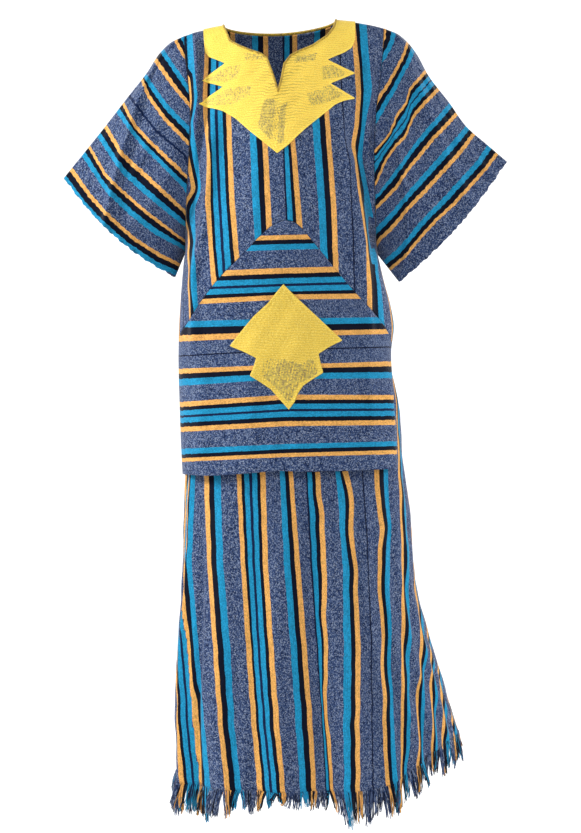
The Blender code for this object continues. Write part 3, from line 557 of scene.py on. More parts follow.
WEFT_PITCH = 0.0022          # rib of the weft, drawn twice as coarse as the real 1.1 mm
STRIPE_SWAY = 0.0012         # how far the stripes' edges stray, from side to side
SWAY_SCALE = 160.0           # and how often to a metre, every 6 mm or so
STREAKS = (720.0, 46.0)      # to a metre, of a thread's own tone: 1.4 mm wide, 22 mm long
SEAM_STITCH = 0.0008         # half the width of the dark line along a seam


def ramp_of(tree, source, stops, interpolation):
    """A colour ramp with the given stops, as positions from 0 to 1 and hex colours."""
    node = add_node(tree, "ShaderNodeValToRGB", {"Fac": source})
    ramp = node.color_ramp
    ramp.interpolation = interpolation
    while len(ramp.elements) < len(stops):
        ramp.elements.new(1.0)
    for element, stop in zip(ramp.elements, stops):
        element.position = stop[0]
        element.color = linear(stop[1])[:3] + [stop[2] if len(stop) > 2 else 1.0]
    return node


def math_node(tree, operation, *inputs):
    """A sum, product or test of sockets and numbers."""
    node = add_node(tree, "ShaderNodeMath", dict(enumerate(inputs)), operation=operation)
    return node.outputs[0]


def flat_vector(tree, x, y):
    """A vector of two sockets or numbers."""
    return add_node(tree, "ShaderNodeCombineXYZ", {"X": x, "Y": y}).outputs["Vector"]


def parts_of(tree, vector):
    """The X and Y sockets of a vector."""
    return add_node(tree, "ShaderNodeSeparateXYZ", {"Vector": vector}).outputs


def uv_of(tree, name):
    """A UV map's socket."""
    return add_node(tree, "ShaderNodeUVMap", uv_map=name).outputs["UV"]


def noise_of(tree, vector, scale, roughness=0.5):
    """Flat noise, from 0 to 1."""
    return add_node(
        tree, "ShaderNodeTexNoise",
        {"Vector": vector, "Scale": scale, "Detail": 2.0, "Roughness": roughness},
        noise_dimensions="2D",
    ).outputs["Fac"]


def cell_tones(tree, vector, scale):
    """Three tones for each cell of a flat pattern, as the channels of its colour."""
    cells = add_node(
        tree, "ShaderNodeTexVoronoi", {"Vector": vector, "Scale": scale, "Randomness": 1.0},
        voronoi_dimensions="2D", feature="F1",
    )
    return add_node(tree, "ShaderNodeSeparateColor", {"Color": cells.outputs["Color"]}).outputs


def mixed_colour(tree, factor, first, second):
    """The first colour where the factor is 0, the second where it is 1."""
    inputs = {"Factor": factor, 6: first, 7: second}
    return add_node(tree, "ShaderNodeMix", inputs, data_type="RGBA").outputs[2]


def shaded_colour(tree, colour, shade):
    """A colour times a shade."""
    inputs = {0: colour, "Scale": shade}
    return add_node(tree, "ShaderNodeVectorMath", inputs, operation="SCALE").outputs["Vector"]


def set_surface(tree, shader, colour, height, strength, distance):
    """The shader's colour and its bump."""
    bump = add_node(
        tree, "ShaderNodeBump", {"Height": height, "Strength": strength, "Distance": distance}
    )
    tree.links.new(colour, shader.inputs["Base Color"])
    tree.links.new(bump.outputs["Normal"], shader.inputs["Normal"])


def strip_cloth(name, stripes, across=SPECKLE_ACROSS, along=SPECKLE_ALONG):
    """Handwoven cotton strip cloth: matt, speckled where pale and indigo threads mix.

    Stripes are read from the place across the strip. Threads differ a little in tone, and
    the weft's ribs and the speckles stand out in the bump.
    """
    material, tree, shader = new_material(
        name, 0.88, {"Sheen Weight": 0.22, "Sheen Roughness": 0.30, "Specular IOR Level": 0.12}
    )
    calc = partial(math_node, tree)
    here = parts_of(tree, uv_of(tree, "weave"))
    there = parts_of(tree, uv_of(tree, "seam"))
    past_seam = calc("GREATER_THAN", there["Y"], 0.0)
    gap = calc("SUBTRACT", there["X"], here["X"])
    even = calc("MULTIPLY_ADD", gap, past_seam, here["X"])
    drift = noise_of(tree, flat_vector(tree, even, here["Y"]), SWAY_SCALE, 0.6)
    place = calc("ADD", even, calc("MULTIPLY_ADD", drift, STRIPE_SWAY, -STRIPE_SWAY / 2))
    total = sum(width for _, width in stripes)
    share = calc("FRACT", calc("DIVIDE", place, total / 1000))
    at = 0.0
    stops = []
    for kind, width in stripes:
        stops.append((at / total, YARNS[kind], 1.0 if kind == "grey" else 0.0))
        at += width
    stripe = ramp_of(tree, share, stops, "CONSTANT")
    cell = flat_vector(tree, calc("DIVIDE", even, across), calc("DIVIDE", here["Y"], along))
    tone = cell_tones(tree, cell, 1.0)
    speckle = ramp_of(tree, tone["Red"], SPECKLES, "LINEAR")
    streak = flat_vector(
        tree, calc("MULTIPLY", even, STREAKS[0]), calc("MULTIPLY", here["Y"], STREAKS[1])
    )
    uneven = calc("MULTIPLY_ADD", noise_of(tree, streak, 1.0), 0.55, 0.72)
    fleck = calc("MULTIPLY_ADD", tone["Green"], 0.56, 0.72)
    toned = shaded_colour(tree, stripe.outputs["Color"], calc("MULTIPLY", uneven, fleck))
    mixed = mixed_colour(tree, stripe.outputs["Alpha"], toned, speckle.outputs["Color"])
    stitched = calc("LESS_THAN", calc("ABSOLUTE", there["Y"]), SEAM_STITCH)
    sewn = mixed_colour(tree, stitched, mixed, linear(YARNS["edge"]))
    rib = calc("SINE", calc("MULTIPLY", here["Y"], 2 * math.pi / WEFT_PITCH))
    height = calc("MULTIPLY_ADD", rib, 0.25, tone["Blue"])
    set_surface(tree, shader, sewn, height, 0.35, 0.0006)
    return material


body_cloth = strip_cloth("handwoven_cotton_strips", STRIP)

NECKLINE = (
    (-0.102, 0.004), (-0.100, -0.012), (-0.097, -0.020), (-0.088, -0.043), (-0.073, -0.053),
    (-0.054, -0.062), (-0.036, -0.069), (-0.026, -0.077), (-0.021, -0.092), (-0.014, -0.113),
    (-0.008, -0.136), (-0.002, -0.113), (0.003, -0.087), (0.013, -0.073), (0.026, -0.065),
    (0.050, -0.054), (0.074, -0.036), (0.085, -0.019), (0.089, -0.004), (0.090, 0.006),
)
CHEVRON = (
    (-0.168, -0.526), (-0.154, -0.510), (-0.136, -0.482), (-0.113, -0.452), (-0.093, -0.431),
    (-0.062, -0.402), (-0.042, -0.380), (-0.021, -0.361), (-0.007, -0.353), (0.006, -0.349),
    (0.020, -0.353), (0.032, -0.363), (0.045, -0.379), (0.084, -0.426), (0.118, -0.465),
    (0.142, -0.490), (0.154, -0.503), (0.168, -0.519), (0.179, -0.536),
)
CHEVRON_SIDE_SLOPE = 0.55
HALF_CHEVRON = 0.0005
NECK_INSET = 0.0025          # how far the panel's edge stays back under the yoke's
PANEL_PITCH = 0.0023


def pattern_line(points, pitch=0.004):
    """Angles and downs along a line of x and height, none further apart than the pitch."""
    line = divided(points, pitch)
    return smock_pattern(line[:, 0], line[:, 1])


neckline = pattern_line(NECKLINE)
neckline[[0, -1], 1] = 0
chevron = pattern_line(CHEVRON, 0.008)
chevron = np.vstack([
    [-1, chevron[0, 1] + (1 + chevron[0, 0]) * HALF_CLOTH * CHEVRON_SIDE_SLOPE],
    chevron,
    [1, chevron[-1, 1] + (1 - chevron[-1, 0]) * HALF_CLOTH * CHEVRON_SIDE_SLOPE],
])
neck_columns = neckline[::2, 0]
panel_angles = np.unique(np.round(np.concatenate([
    np.linspace(-1, 1, int(2 * HALF_CLOTH / PANEL_PITCH)), neck_columns,
]), 4))
chevron_down = np.interp(panel_angles, chevron[:, 0], chevron[:, 1])

# Each line: a stripe's edge, as its place in millimetres and the photo points that it passes,
# read down the photo as y and x. Left and right of the front's middle seam the strips start
# at different places.
UPPER_LEFT_STRIPES = (
    (34.7, ((118, 184), (135, 186), (150, 188.2), (165, 191), (180, 194.2), (190, 196.5),
            (206, 184))),
    (43.7, ((40, 186.5), (80, 188), (99, 189.5), (115, 190.5), (125, 189), (140, 190), (160, 193),
            (180, 197), (190, 199), (208, 189), (228, 189.3), (243, 189), (270, 189),
            (294, 191.7))),
    (54.2, ((40, 193), (60, 194.5), (80, 196), (97, 198), (112, 195.5), (122, 193.4), (140, 195),
            (160, 198), (180, 200.6), (190, 201.4), (208, 195.2), (228, 195.4), (243, 195),
            (270, 195.8), (294, 197.1))),
    (83.5, ((49, 204.9), (95, 202), (118, 203.2), (158, 207.7), (203, 205.1), (243, 208.5),
            (270, 210.5))),
    (91.7, ((49, 208.9), (95, 207.2), (118, 207.4), (158, 210.6), (203, 210.1), (243, 212.5),
            (270, 215.2))),
    (97.1, ((49, 211.8), (95, 210), (118, 210.7), (158, 211.9), (203, 213.2), (243, 215.8),
            (270, 218.5))),
    (106.3, ((49, 217), (118, 215.3), (158, 216.3), (203, 218.5), (243, 221.2))),
    (108.3, ((49, 218), (118, 217), (158, 218), (203, 220.5), (243, 223))),
    (117.5, ((49, 223.3), (118, 222), (158, 223.8), (203, 225.9), (243, 229))),
    (122.9, ((64, 226.2), (118, 226.2), (158, 227.8), (203, 229.5), (243, 233.1))),
    (131.1, ((118, 231), (158, 232.4), (203, 234.6), (243, 238))),
    (160.4, ((135, 249.7), (203, 252), (243, 254.7))),
    (170.9, ((135, 256.3), (203, 259.6), (243, 262))),
    (179.9, ((135, 262), (203, 265))),
    (188.1, ((135, 267), (203, 270.4))),
)
UPPER_MIDDLE_SEAM = ((92, 285.9), (155, 283.5), (203, 285.5))
UPPER_RIGHT_STRIPES = (
    (117.5, ((155, 288.3), (203, 291.2))),
    (122.9, ((155, 291.4), (203, 294.8))),
    (131.1, ((155, 296.1), (203, 300.1))),
    (160.4, ((155, 314), (203, 317.6), (243, 319.4))),
    (170.9, ((150, 321.2), (203, 324.9), (243, 327))),
    (179.9, ((145, 326.4), (203, 330.4), (243, 332), (270, 333))),
    (188.1, ((145, 331.1), (203, 335.6), (243, 337.3), (270, 338.4))),
    (214.6, ((55, 339.8), (71, 340.1), (108, 342.5), (122, 343.5), (141, 345), (155, 348),
             (165, 350.3), (203, 351.3), (243, 353.3), (270, 353.8), (290, 354.4))),
    (241.1, ((44, 352.4), (72, 354.2), (95, 355.9), (124, 354.2), (145, 350.5), (226, 363),
             (243, 365.8), (270, 366), (294, 366.5))),
    (249.3, ((44, 357), (72, 359.9), (95, 361), (124, 358.7), (145, 354.5), (226, 366.7),
             (243, 370.5), (270, 370.8), (294, 371.2))),
    (258.3, ((38, 359.5), (89, 363.3), (125, 361.5), (158, 356.6), (243, 373.9), (270, 375.2),
             (294, 376.6))),
    (268.8, ((34, 367), (89, 371.9), (125, 365), (158, 361.7), (243, 378), (270, 379.9),
             (310, 383))),
    (298.1, ((40, 390), (125, 386), (203, 387), (294, 391.5), (331, 395.8), (356, 391))),
)
RIGHT_START = 0.1073         # place at which the strip right of the middle seam starts
LEFT_END = 0.2146            # and at which the strip left of it ends


def metres(stripes):
    """The same lines, with their places in metres."""
    return [(place / 1000, line) for place, line in stripes]


def seamed_places(level_grid, left, right, seam, ahead, firm=1.0):
    """Both strips' places and the distance past the seam between them, in level rows."""
    along = run_along(level_grid, 1)
    left_places = woven_places(along, metres(left) + [(LEFT_END, seam)], ahead, firm)
    right_places = woven_places(along, [(RIGHT_START, seam)] + metres(right), ahead, firm)
    past = woven_places(along, [(0.0, seam)], ahead, firm)
    return left_places, right_places, past


def to_rows(values, level_downs, downs):
    """Values on a level grid carried to a panel's own rows, column by column."""
    columns = [
        np.interp(downs[:, k], level_downs, values[:, k]) for k in range(values.shape[1])
    ]
    return np.stack(columns, axis=1)


UPPER_ROWS = 128
LEVEL_ROWS = 190             # of a grid in level rows, on which the stripes are placed
PAST_HEM = 0.009             # how far it runs on below the hem
upper_top = np.interp(panel_angles, neckline[:, 0], neckline[:, 1], left=0, right=0)
upper_top = upper_top + np.where(upper_top > 0, NECK_INSET, 0)
upper_end = chevron_down - HALF_CHEVRON
share = np.linspace(0, 1, UPPER_ROWS)[:, None]
upper_downs = upper_top + (upper_end - upper_top) * share
level_downs = np.linspace(0, HEM_DOWN + PAST_HEM, LEVEL_ROWS)
level_grid = smock_point(panel_angles, level_downs[:, None])
level_x, level_y = photo_pixels(level_grid)


def ahead_in_x(line):
    """How far to the right of an upright line each point of the level grid is seen."""
    return level_x - line_at(line, level_y)


upper_maps = [
    to_rows(values, level_downs, upper_downs)
    for values in seamed_places(
        level_grid, UPPER_LEFT_STRIPES, UPPER_RIGHT_STRIPES, UPPER_MIDDLE_SEAM, ahead_in_x
    )
]
smock_front_upper = cloth_piece(
    "smock_front_upper_cloth", smock_point(panel_angles, upper_downs), upper_maps[0],
    upper_downs, body_cloth, other=upper_maps[1], beside=upper_maps[2],
)
put_in_frame(smock_front_upper, "smock_front_upper")

# The smock's front below the chevron seam: the same strips laid level, sewn to the upper
# front along the chevron, with a turned hem and open vents at both sides.

# A row for each stripe's edge: its place, and its y at the x values given for its group.
LOWER_STRIPES = sorted(
    (place, tuple(zip(across, downs)))
    for across, rows in (
        ((182, 285, 390), (
            (26.5, 238, 234.9, 233), (34.7, 242.6, 239.6, 237.6), (43.7, 247, 243.6, 241),
            (54.2, 253.2, 249.6, 247), (83.5, 271.7, 267.7, 265), (91.7, 276.8, 272.8, 270),
            (97.1, 282.5, 278.4, 275.5), (117.5, 295.3, 291, 288.5), (241.1, 368.4, 364.5, 361.2),
            (249.3, 373.4, 368.4, 366), (258.3, 378.3, 372.6, 371.9), (268.8, 385.7, 378.8, 378.3),
            (298.1, 401.7, 394.4, 394.9), (306.3, 406.3, 399, 399), (311.7, 410.6, 404, 403.6),
            (332.1, 422, 416, 415.2), (337.5, 427, 421.3, 420.1), (345.7, 431.6, 425.8, 424.7),
            (375.0, 448.4, 443.8, 441.2), (385.5, 454.5, 449.2, 446.1), (394.5, 458, 453, 450),
            (402.7, 461.4, 456.5, 453.8),
        )),
        ((200, 285, 370), (
            (122.9, 299.2, 294.5, 293.5), (131.1, 303.8, 299, 298.4),
        )),
        ((200, 285, 390), (
            (160.4, 320.6, 318.3, 316.8), (170.9, 326.7, 324.6, 322.9), (179.9, 334.4, 331.2, 329),
            (188.1, 340.5, 336.6, 333.6),
        )),
        ((182, 285, 372), (
            (214.6, 355.8, 349.5, 347.2),
        )),
    )
    for place, *downs in rows
)
LOWER_ROWS = 124
# How much lower than level the hem hangs, from the photo's left to its right.
HEM_HANG = (
    (182, 0.0065), (200, 0.0080), (222, 0.0070), (277, -0.0015), (308, 0.0010), (350, -0.0010),
    (393, -0.0035),
)


def ahead_in_y(line):
    """How far below a level line each point of the level grid is seen, column by column."""
    return (level_y - line_at(line, level_x)).T


lower_level = woven_places(run_along(level_grid, 0).T, metres(LOWER_STRIPES), ahead_in_y).T
lower_top = chevron_down + HALF_CHEVRON
hem_hang = np.interp(level_x[-1], *np.array(HEM_HANG).T)
share = np.linspace(0, 1, LOWER_ROWS)[:, None]
lower_downs = lower_top + (HEM_DOWN + hem_hang - lower_top) * share
lower_grid = smock_point(panel_angles, lower_downs)
smock_front_lower = cloth_piece(
    "smock_front_lower_cloth", lower_grid, to_rows(lower_level, level_downs, lower_downs),
    run_along(lower_grid, 1), body_cloth,
)
put_in_frame(smock_front_lower, "smock_front_lower")

# The smock's back: one panel of upright strips with the same middle seam, sewn to the front
# along the shoulders and sides down to the vents. The photo doesn't show it.

BACK_NECK_DEPTH = 0.048
BACK_ROWS = 190
BACK_PITCH = 0.0042


def back_neck(outset, count=37):
    """Half of a flat ellipse below the shoulder line: angles and downs along its edge."""
    left = neckline[0, 0] * HALF_CLOTH - outset
    right = neckline[-1, 0] * HALF_CLOTH + outset
    around = np.linspace(np.pi, 0, count)
    across = (left + right) / 2 + (right - left) / 2 * np.cos(around)
    depth = BACK_NECK_DEPTH + outset
    return np.stack([across / HALF_CLOTH, depth * np.sin(around) ** 0.8], axis=-1)


neck_edge = back_neck(0)
back_angles = np.unique(np.round(np.concatenate([
    np.linspace(-1, 1, int(2 * HALF_CLOTH / BACK_PITCH)), neck_edge[:, 0],
]), 4))
back_top = np.interp(back_angles, neck_edge[:, 0], neck_edge[:, 1], left=0, right=0)
back_top = back_top + np.where(back_top > 0, NECK_INSET, 0)
back_downs = back_top + (HEM_DOWN - back_top) * np.linspace(0, 1, BACK_ROWS)[:, None]
back_level = smock_point(back_angles, level_downs[:, None], True)
back_along = run_along(back_level, 1)
middle = np.array([
    np.interp(0.0, row_x, row) for row_x, row in zip(back_level[..., 0], back_along)
])
back_past = to_rows(back_along - middle[:, None], level_downs, back_downs)
smock_back = cloth_piece(
    "smock_back_cloth", smock_point(back_angles, back_downs, True), back_past + LEFT_END,
    back_downs, body_cloth, flip=True, other=back_past + RIGHT_START, beside=back_past,
)
put_in_frame(smock_back, "smock_back")

# The sleeves: wide and short, each one piece of strips folded along its top and sewn below,
# with its strips running across from the fold to the underarm seam.

UNDERARM = 0.394
ARMHOLE_GAP = 0.0011
UNDERARM_GAP = 0.0008
UNDERARM_TURN = 0.26
CUFF_HALF_DEPTH = 0.044
SLEEVE_BILLOW = 0.16
SLEEVE_RINGS = 96
SLEEVE_LAYER = 104
CUFF_WAVES = ((0.0009, 60, 0), (0.0006, 141, 1))     # size, pace and start

Sleeve = namedtuple("Sleeve", "name side tip_x tip_z corner_x corner_z cuff_bow top_bows")
SLEEVES = (
    Sleeve(
        "sleeve_right", -1, 0.372, -0.264, 0.184, -0.432, 0.016,
        ((0, 0), (0.06, 0.010), (0.15, 0.014), (0.28, 0.009), (0.43, 0.007), (0.65, 0.0035),
         (1, 0)),
    ),
    Sleeve(
        "sleeve_left", 1, 0.380, -0.236, 0.198, -0.440, 0.011,
        ((0, 0), (0.06, 0.010), (0.14, 0.014), (0.22, 0.012), (0.35, 0.002), (0.55, -0.004),
         (0.70, -0.010), (0.86, -0.005), (1, 0)),
    ),
)
# A row for each fold of a sleeve: its layer, where its crest starts and ends, as shares of
# the way to the cuff and of the way down the layer, its width as such a share, its depth.
SleeveFold = namedtuple("SleeveFold", "side back along_top down_top along_end down_end width depth")
SLEEVE_FOLDS = [SleeveFold(*row) for row in (
    (-1, False, 0.12, -0.01, 0.78, 0.33, 0.042, 0.017),
    (-1, False, 0.00, 0.66, 1.00, 0.58, 0.090, 0.006),
    (-1, False, 0.05, 0.30, 0.90, 0.44, 0.034, 0.0035),
    (-1, False, 0.02, 0.84, 0.70, 0.80, 0.040, 0.0040),
    (-1, False, 0.30, 0.14, 0.95, 0.16, 0.030, 0.0025),
    (-1, True, 0.10, 0.22, 0.90, 0.42, 0.090, 0.008),
    (-1, True, 0.05, 0.66, 0.95, 0.70, 0.050, 0.005),
    (-1, True, 0.10, 0.10, 0.80, 0.20, 0.035, 0.003),
    (1, False, 0.05, 0.10, 0.85, 0.34, 0.050, 0.011),
    (1, False, 0.00, 0.56, 1.00, 0.64, 0.090, 0.008),
    (1, False, 0.06, 0.20, 0.62, 0.16, 0.028, 0.0090),
    (1, False, 0.02, 0.36, 0.50, 0.70, 0.030, 0.0070),
    (1, False, 0.25, 0.06, 0.95, 0.14, 0.032, 0.0025),
    (1, False, 0.05, 0.82, 0.80, 0.84, 0.040, 0.0035),
    (1, True, 0.10, 0.26, 0.90, 0.46, 0.090, 0.008),
    (1, True, 0.05, 0.62, 0.95, 0.72, 0.050, 0.005),
    (1, True, 0.15, 0.12, 0.85, 0.22, 0.035, 0.003),
)]


def sleeve_relief(side, back, along, down_share):
    """Sum of a layer's folds, each a bell across its crest, none at the seams and edges."""
    relief = np.zeros(np.broadcast(along, down_share).shape)
    for fold in SLEEVE_FOLDS:
        if fold.side != side or fold.back != back:
            continue
        share = (along - fold.along_top) / (fold.along_end - fold.along_top)
        crest = fold.down_top + (fold.down_end - fold.down_top) * share
        bell = np.exp(-(np.abs((down_share - crest) / fold.width) ** 1.8))
        relief = relief + fold.depth * rise(share, -0.10, 0.30) * bell
    return relief * np.sin(np.pi * down_share) ** 0.5


def sleeve_layers(sleeve):
    """Front and back layer of a sleeve, rings from the armhole to the cuff.

    Each ring goes down a layer from the upper fold to the underarm seam. The cuff is a bowed
    line from its outer tip to its inner corner, opened to a leaf that is widest a little
    below its middle.
    """
    down_share = np.linspace(0, 1, SLEEVE_LAYER)
    downs = down_share * np.interp(UNDERARM, SMOCK_DROPS, SMOCK_DOWNS)
    cuff_x = sleeve.tip_x + (sleeve.corner_x - sleeve.tip_x) * down_share
    cuff_z = sleeve.tip_z + (sleeve.corner_z - sleeve.tip_z) * down_share
    chord = np.array([sleeve.corner_x - sleeve.tip_x, sleeve.corner_z - sleeve.tip_z])
    outward = np.array([-chord[1], chord[0]]) / np.linalg.norm(chord)
    belly = sleeve.cuff_bow * np.sin(np.pi * down_share)
    for size, pace, start in CUFF_WAVES:
        belly = belly + size * np.sin(down_share * pace + start)
    cuff_x = cuff_x + belly * outward[0]
    cuff_z = cuff_z + belly * outward[1]
    cuff_depth = CUFF_HALF_DEPTH * np.sin(np.pi * down_share ** 1.25) ** 0.9
    along = np.linspace(0, 1, SLEEVE_RINGS)[:, None]
    bows = smooth(along, *np.array(sleeve.top_bows).T)
    layers = []
    for back in (False, True):
        armhole = smock_point(np.full(SLEEVE_LAYER, float(sleeve.side)), downs, back)
        turned = rise(-armhole[:, 2], UNDERARM_TURN, UNDERARM)
        reach = np.abs(armhole[:, 0]) + ARMHOLE_GAP + UNDERARM_GAP * turned
        start_z = armhole[:, 2]
        start_depth = np.abs(armhole[:, 1])
        top = np.array([sleeve.tip_x - reach[0], sleeve.tip_z - start_z[0]])
        lift = np.array([-top[1], top[0]]) / np.linalg.norm(top)
        fade = (1 - down_share) ** 2.2
        x = reach + (cuff_x - reach) * along + bows * fade * lift[0]
        z = start_z + (cuff_z - start_z) * along + bows * fade * lift[1]
        y = (start_depth + (cuff_depth - start_depth) * along) * (
            1 + SLEEVE_BILLOW * np.sin(np.pi * along)
        )
        relief = sleeve_relief(sleeve.side, back, along, down_share)
        relief = relief + slack(x, z, 2.0 + back) * np.sin(np.pi * down_share)
        y = y + relief * rise(along, 0, 0.2)
        y[:, [0, -1]] = 0
        layers.append(np.stack([sleeve.side * x, y if back else -y, z], axis=-1))
    return layers


# Each sleeve's strip from the cuff to the armhole, and where the photo shows its stripes'
# middles: place in millimetres, and the points at the upper fold and at the underarm.
NARROW = (("blue", 8.0), ("navy", 7.6), ("orange", 5.6))
RIGHT_SLEEVE_STRIP = (
    *NARROW, ("grey", 22), *NARROW, ("grey", 22), *NARROW, ("grey", 22), *NARROW, ("grey", 13),
    ("line", 1.8), ("grey", 14), *NARROW[::-1], ("grey", 22), *NARROW[::-1], ("grey", 22),
    *NARROW[::-1], ("grey", 60),
)
LEFT_SLEEVE_STRIP = (
    ("grey", 17), *NARROW[::-1], ("grey", 24), *NARROW[::-1], ("grey", 22), *NARROW[::-1],
    ("grey", 22), ("orange", 6.2), ("navy", 6.5), ("blue", 8), ("line", 2.6), ("blue", 8),
    ("navy", 6.5), ("orange", 6.2), ("grey", 26), *NARROW, ("grey", 24), *NARROW, ("grey", 60),
)
RIGHT_SLEEVE_STRIPES = (
    ((68.4, 175.4), (85.4, 198.6), (105, 220), (130, 241.4), (158.6, 260.2), (185.4, 271.8)),
    ((72.9, 171.8), (90.7, 196.8), (110.4, 218.2), (133.6, 238.8), (158.6, 254.8), (185.4, 268.2)),
    ((87.1, 159.3), (106.8, 189.6), (130, 212), (155, 231.6), (185.4, 247.7)),
    ((91.6, 151.3), (105, 175.4), (122.9, 192.3), (144.3, 211), (165.7, 227.1), (180, 238.8)),
    ((101.4, 139.6), (115.7, 161), (122.9, 171.8), (144.3, 191.4), (165.7, 209.3), (185.4, 225.4)),
    ((106.8, 129.8), (121, 154.8), (144.3, 175.4), (165.7, 195), (185.4, 212.9)),
    ((121, 114.6), (130, 127), (144.3, 145), (165.7, 166.4), (185.4, 187)),
    ((124.6, 107.5), (133.6, 127), (151.4, 145), (169.3, 162.9), (185.4, 177)),
    ((137, 107.5), (155, 130.7), (183.6, 154.8)),
    ((144.3, 82.5), (147.9, 95), (165.7, 120), (188, 143.2)),
    ((147.9, 82.5), (165.7, 107.5), (188.9, 130.7)),
    ((155.9, 62), (172.9, 86), (188, 103.9)),
    ((163, 52), (176.4, 71.8), (188, 89.6)),
    ((175.5, 41.4), (181.8, 53.9), (188, 64.6)),
    ((185.4, 37.9), (189, 50.4)),
)
RIGHT_SLEEVE_MIDDLES = (1, 2, 4, 6, 8, 10, 12, 14, 16, 18, 20, 22, 24, 26, 28)
LEFT_SLEEVE_STRIPES = (
    ((496.3, 154.8), (486.4, 168.2), (472.1, 184.3), (454.3, 203.9), (436.4, 220), (418.6, 239.6),
     (404.3, 257.5), (390, 269.1)),
    ((488.2, 149.5), (479.3, 162.9), (461.4, 182.5), (443.6, 202.1), (425.7, 220), (409.6, 239.6),
     (397.1, 253.9), (384.6, 262.9)),
    ((473, 136.1), (461.4, 152.1), (443.6, 171.8), (425.7, 191.4), (407.9, 209.3), (393.6, 227.1),
     (377.5, 242.3)),
    ((465, 130.7), (454.3, 143.2), (441.8, 157.5), (423.9, 177.1), (407.9, 195), (393.6, 212.9),
     (377.5, 229.8)),
    ((456.1, 115.5), (447.1, 125.4), (432.9, 139.6), (420.4, 155.7), (407.9, 170), (397.1, 187.9),
     (382, 203)),
    ((448.9, 107.5), (440, 118.2), (425.7, 134.3), (413.2, 148.6), (402.5, 164.6), (391.8, 178.9),
     (379.3, 193.2)),
    ((438.2, 89.6), (425.7, 102.1), (413.2, 116.4), (408.8, 127.1), (406.1, 136.1),
     (393.6, 148.6), (384.6, 162.9), (379.3, 177.1)),
    ((429.3, 82.5), (418.6, 95), (409.6, 105.7), (406.1, 120), (395.4, 132.5), (388.2, 143.2),
     (378, 158)),
    ((424.8, 73.2), (409.6, 89.6), (407, 103), (396.3, 116.4), (390.9, 134.3), (376.6, 151.3)),
    ((412.3, 52.1), (407.9, 64.6), (400.7, 77.1), (393.6, 91.4), (382.9, 109.3)),
    ((406.4, 45.9), (403.4, 55.7), (398.9, 64.6), (388.2, 84.3), (381.1, 95)),
    ((393.6, 34.3), (391.8, 43.2), (381.1, 62.9)),
    ((384.6, 30.7), (382.9, 41.4), (376.6, 53.9)),
)
LEFT_SLEEVE_MIDDLES = (1, 3, 5, 7, 9, 11, 13, 16, 19, 21, 23, 25, 27)


def stripe_middles(strip, numbers):
    """Middle places of the numbered stripes of a strip, in metres."""
    ends = np.cumsum([width for _, width in strip])
    return [(ends[k] - strip[k][1] / 2) / 1000 for k in numbers]


def sleeve_places(front, strip, numbers, lines, side):
    """Place from the cuff at each point of a sleeve's front layer."""
    reversed_grid = front[::-1].transpose(1, 0, 2)
    x, y = photo_pixels(reversed_grid)
    stripes = [
        (place, tuple((down, across) for across, down in line))
        for place, line in zip(stripe_middles(strip, numbers), lines)
    ]
    inward = run_along(reversed_grid, 1)
    places = woven_places(inward, stripes, lambda line: -side * (x - line_at(line, y)))
    return places.T[::-1]


SLEEVE_STRIPS = (
    (RIGHT_SLEEVE_STRIP, RIGHT_SLEEVE_MIDDLES, RIGHT_SLEEVE_STRIPES),
    (LEFT_SLEEVE_STRIP, LEFT_SLEEVE_MIDDLES, LEFT_SLEEVE_STRIPES),
)
for sleeve, (strip, numbers, lines) in zip(SLEEVES, SLEEVE_STRIPS):
    front, behind = sleeve_layers(sleeve)
    ring = np.concatenate([front, behind[:, -2::-1]], axis=1)
    places = sleeve_places(front, strip, numbers, lines, sleeve.side)
    places = np.concatenate([places, places[:, -2::-1]], axis=1)
    piece = cloth_piece(
        sleeve.name + "_cloth", ring, places, run_along(ring, 1),
        strip_cloth(sleeve.name + "_cotton_strips", strip), flip=sleeve.side > 0,
    )
    weld(piece, "upper_fold")
    put_in_frame(piece, sleeve.name)

# The skirt: two halves of upright strips sewn at the sides, gathered on a band at the waist
# and hanging in soft folds that open towards the hem.

SKIRT_TOP = 0.388
SKIRT_HEM = 1.276
HEM_RISE = 0.071
SKIRT_RADIUS = 0.20
SKIRT_LEVELS = [Level(*row) for row in (
    (0.340, 0.131, 0.133, 0.092, 0.083), (0.388, 0.134, 0.136, 0.096, 0.086),
    (0.450, 0.146, 0.148, 0.104, 0.093), (0.520, 0.157, 0.164, 0.112, 0.101),
    (0.560, 0.162, 0.172, 0.116, 0.107), (0.600, 0.164, 0.185, 0.118, 0.113),
    (0.640, 0.165, 0.195, 0.120, 0.1176), (0.700, 0.165, 0.200, 0.122, 0.117),
    (0.760, 0.164, 0.204, 0.125, 0.118), (0.800, 0.166, 0.211, 0.128, 0.120),
    (0.860, 0.168, 0.217, 0.132, 0.124), (0.950, 0.171, 0.225, 0.138, 0.130),
    (1.020, 0.175, 0.241, 0.143, 0.135), (1.110, 0.180, 0.267, 0.150, 0.143),
    (1.170, 0.182, 0.285, 0.154, 0.148), (1.230, 0.180, 0.303, 0.157, 0.152),
    (1.300, 0.179, 0.322, 0.159, 0.155),
)]
SKIRT_DROPS = column(SKIRT_LEVELS, "drop")

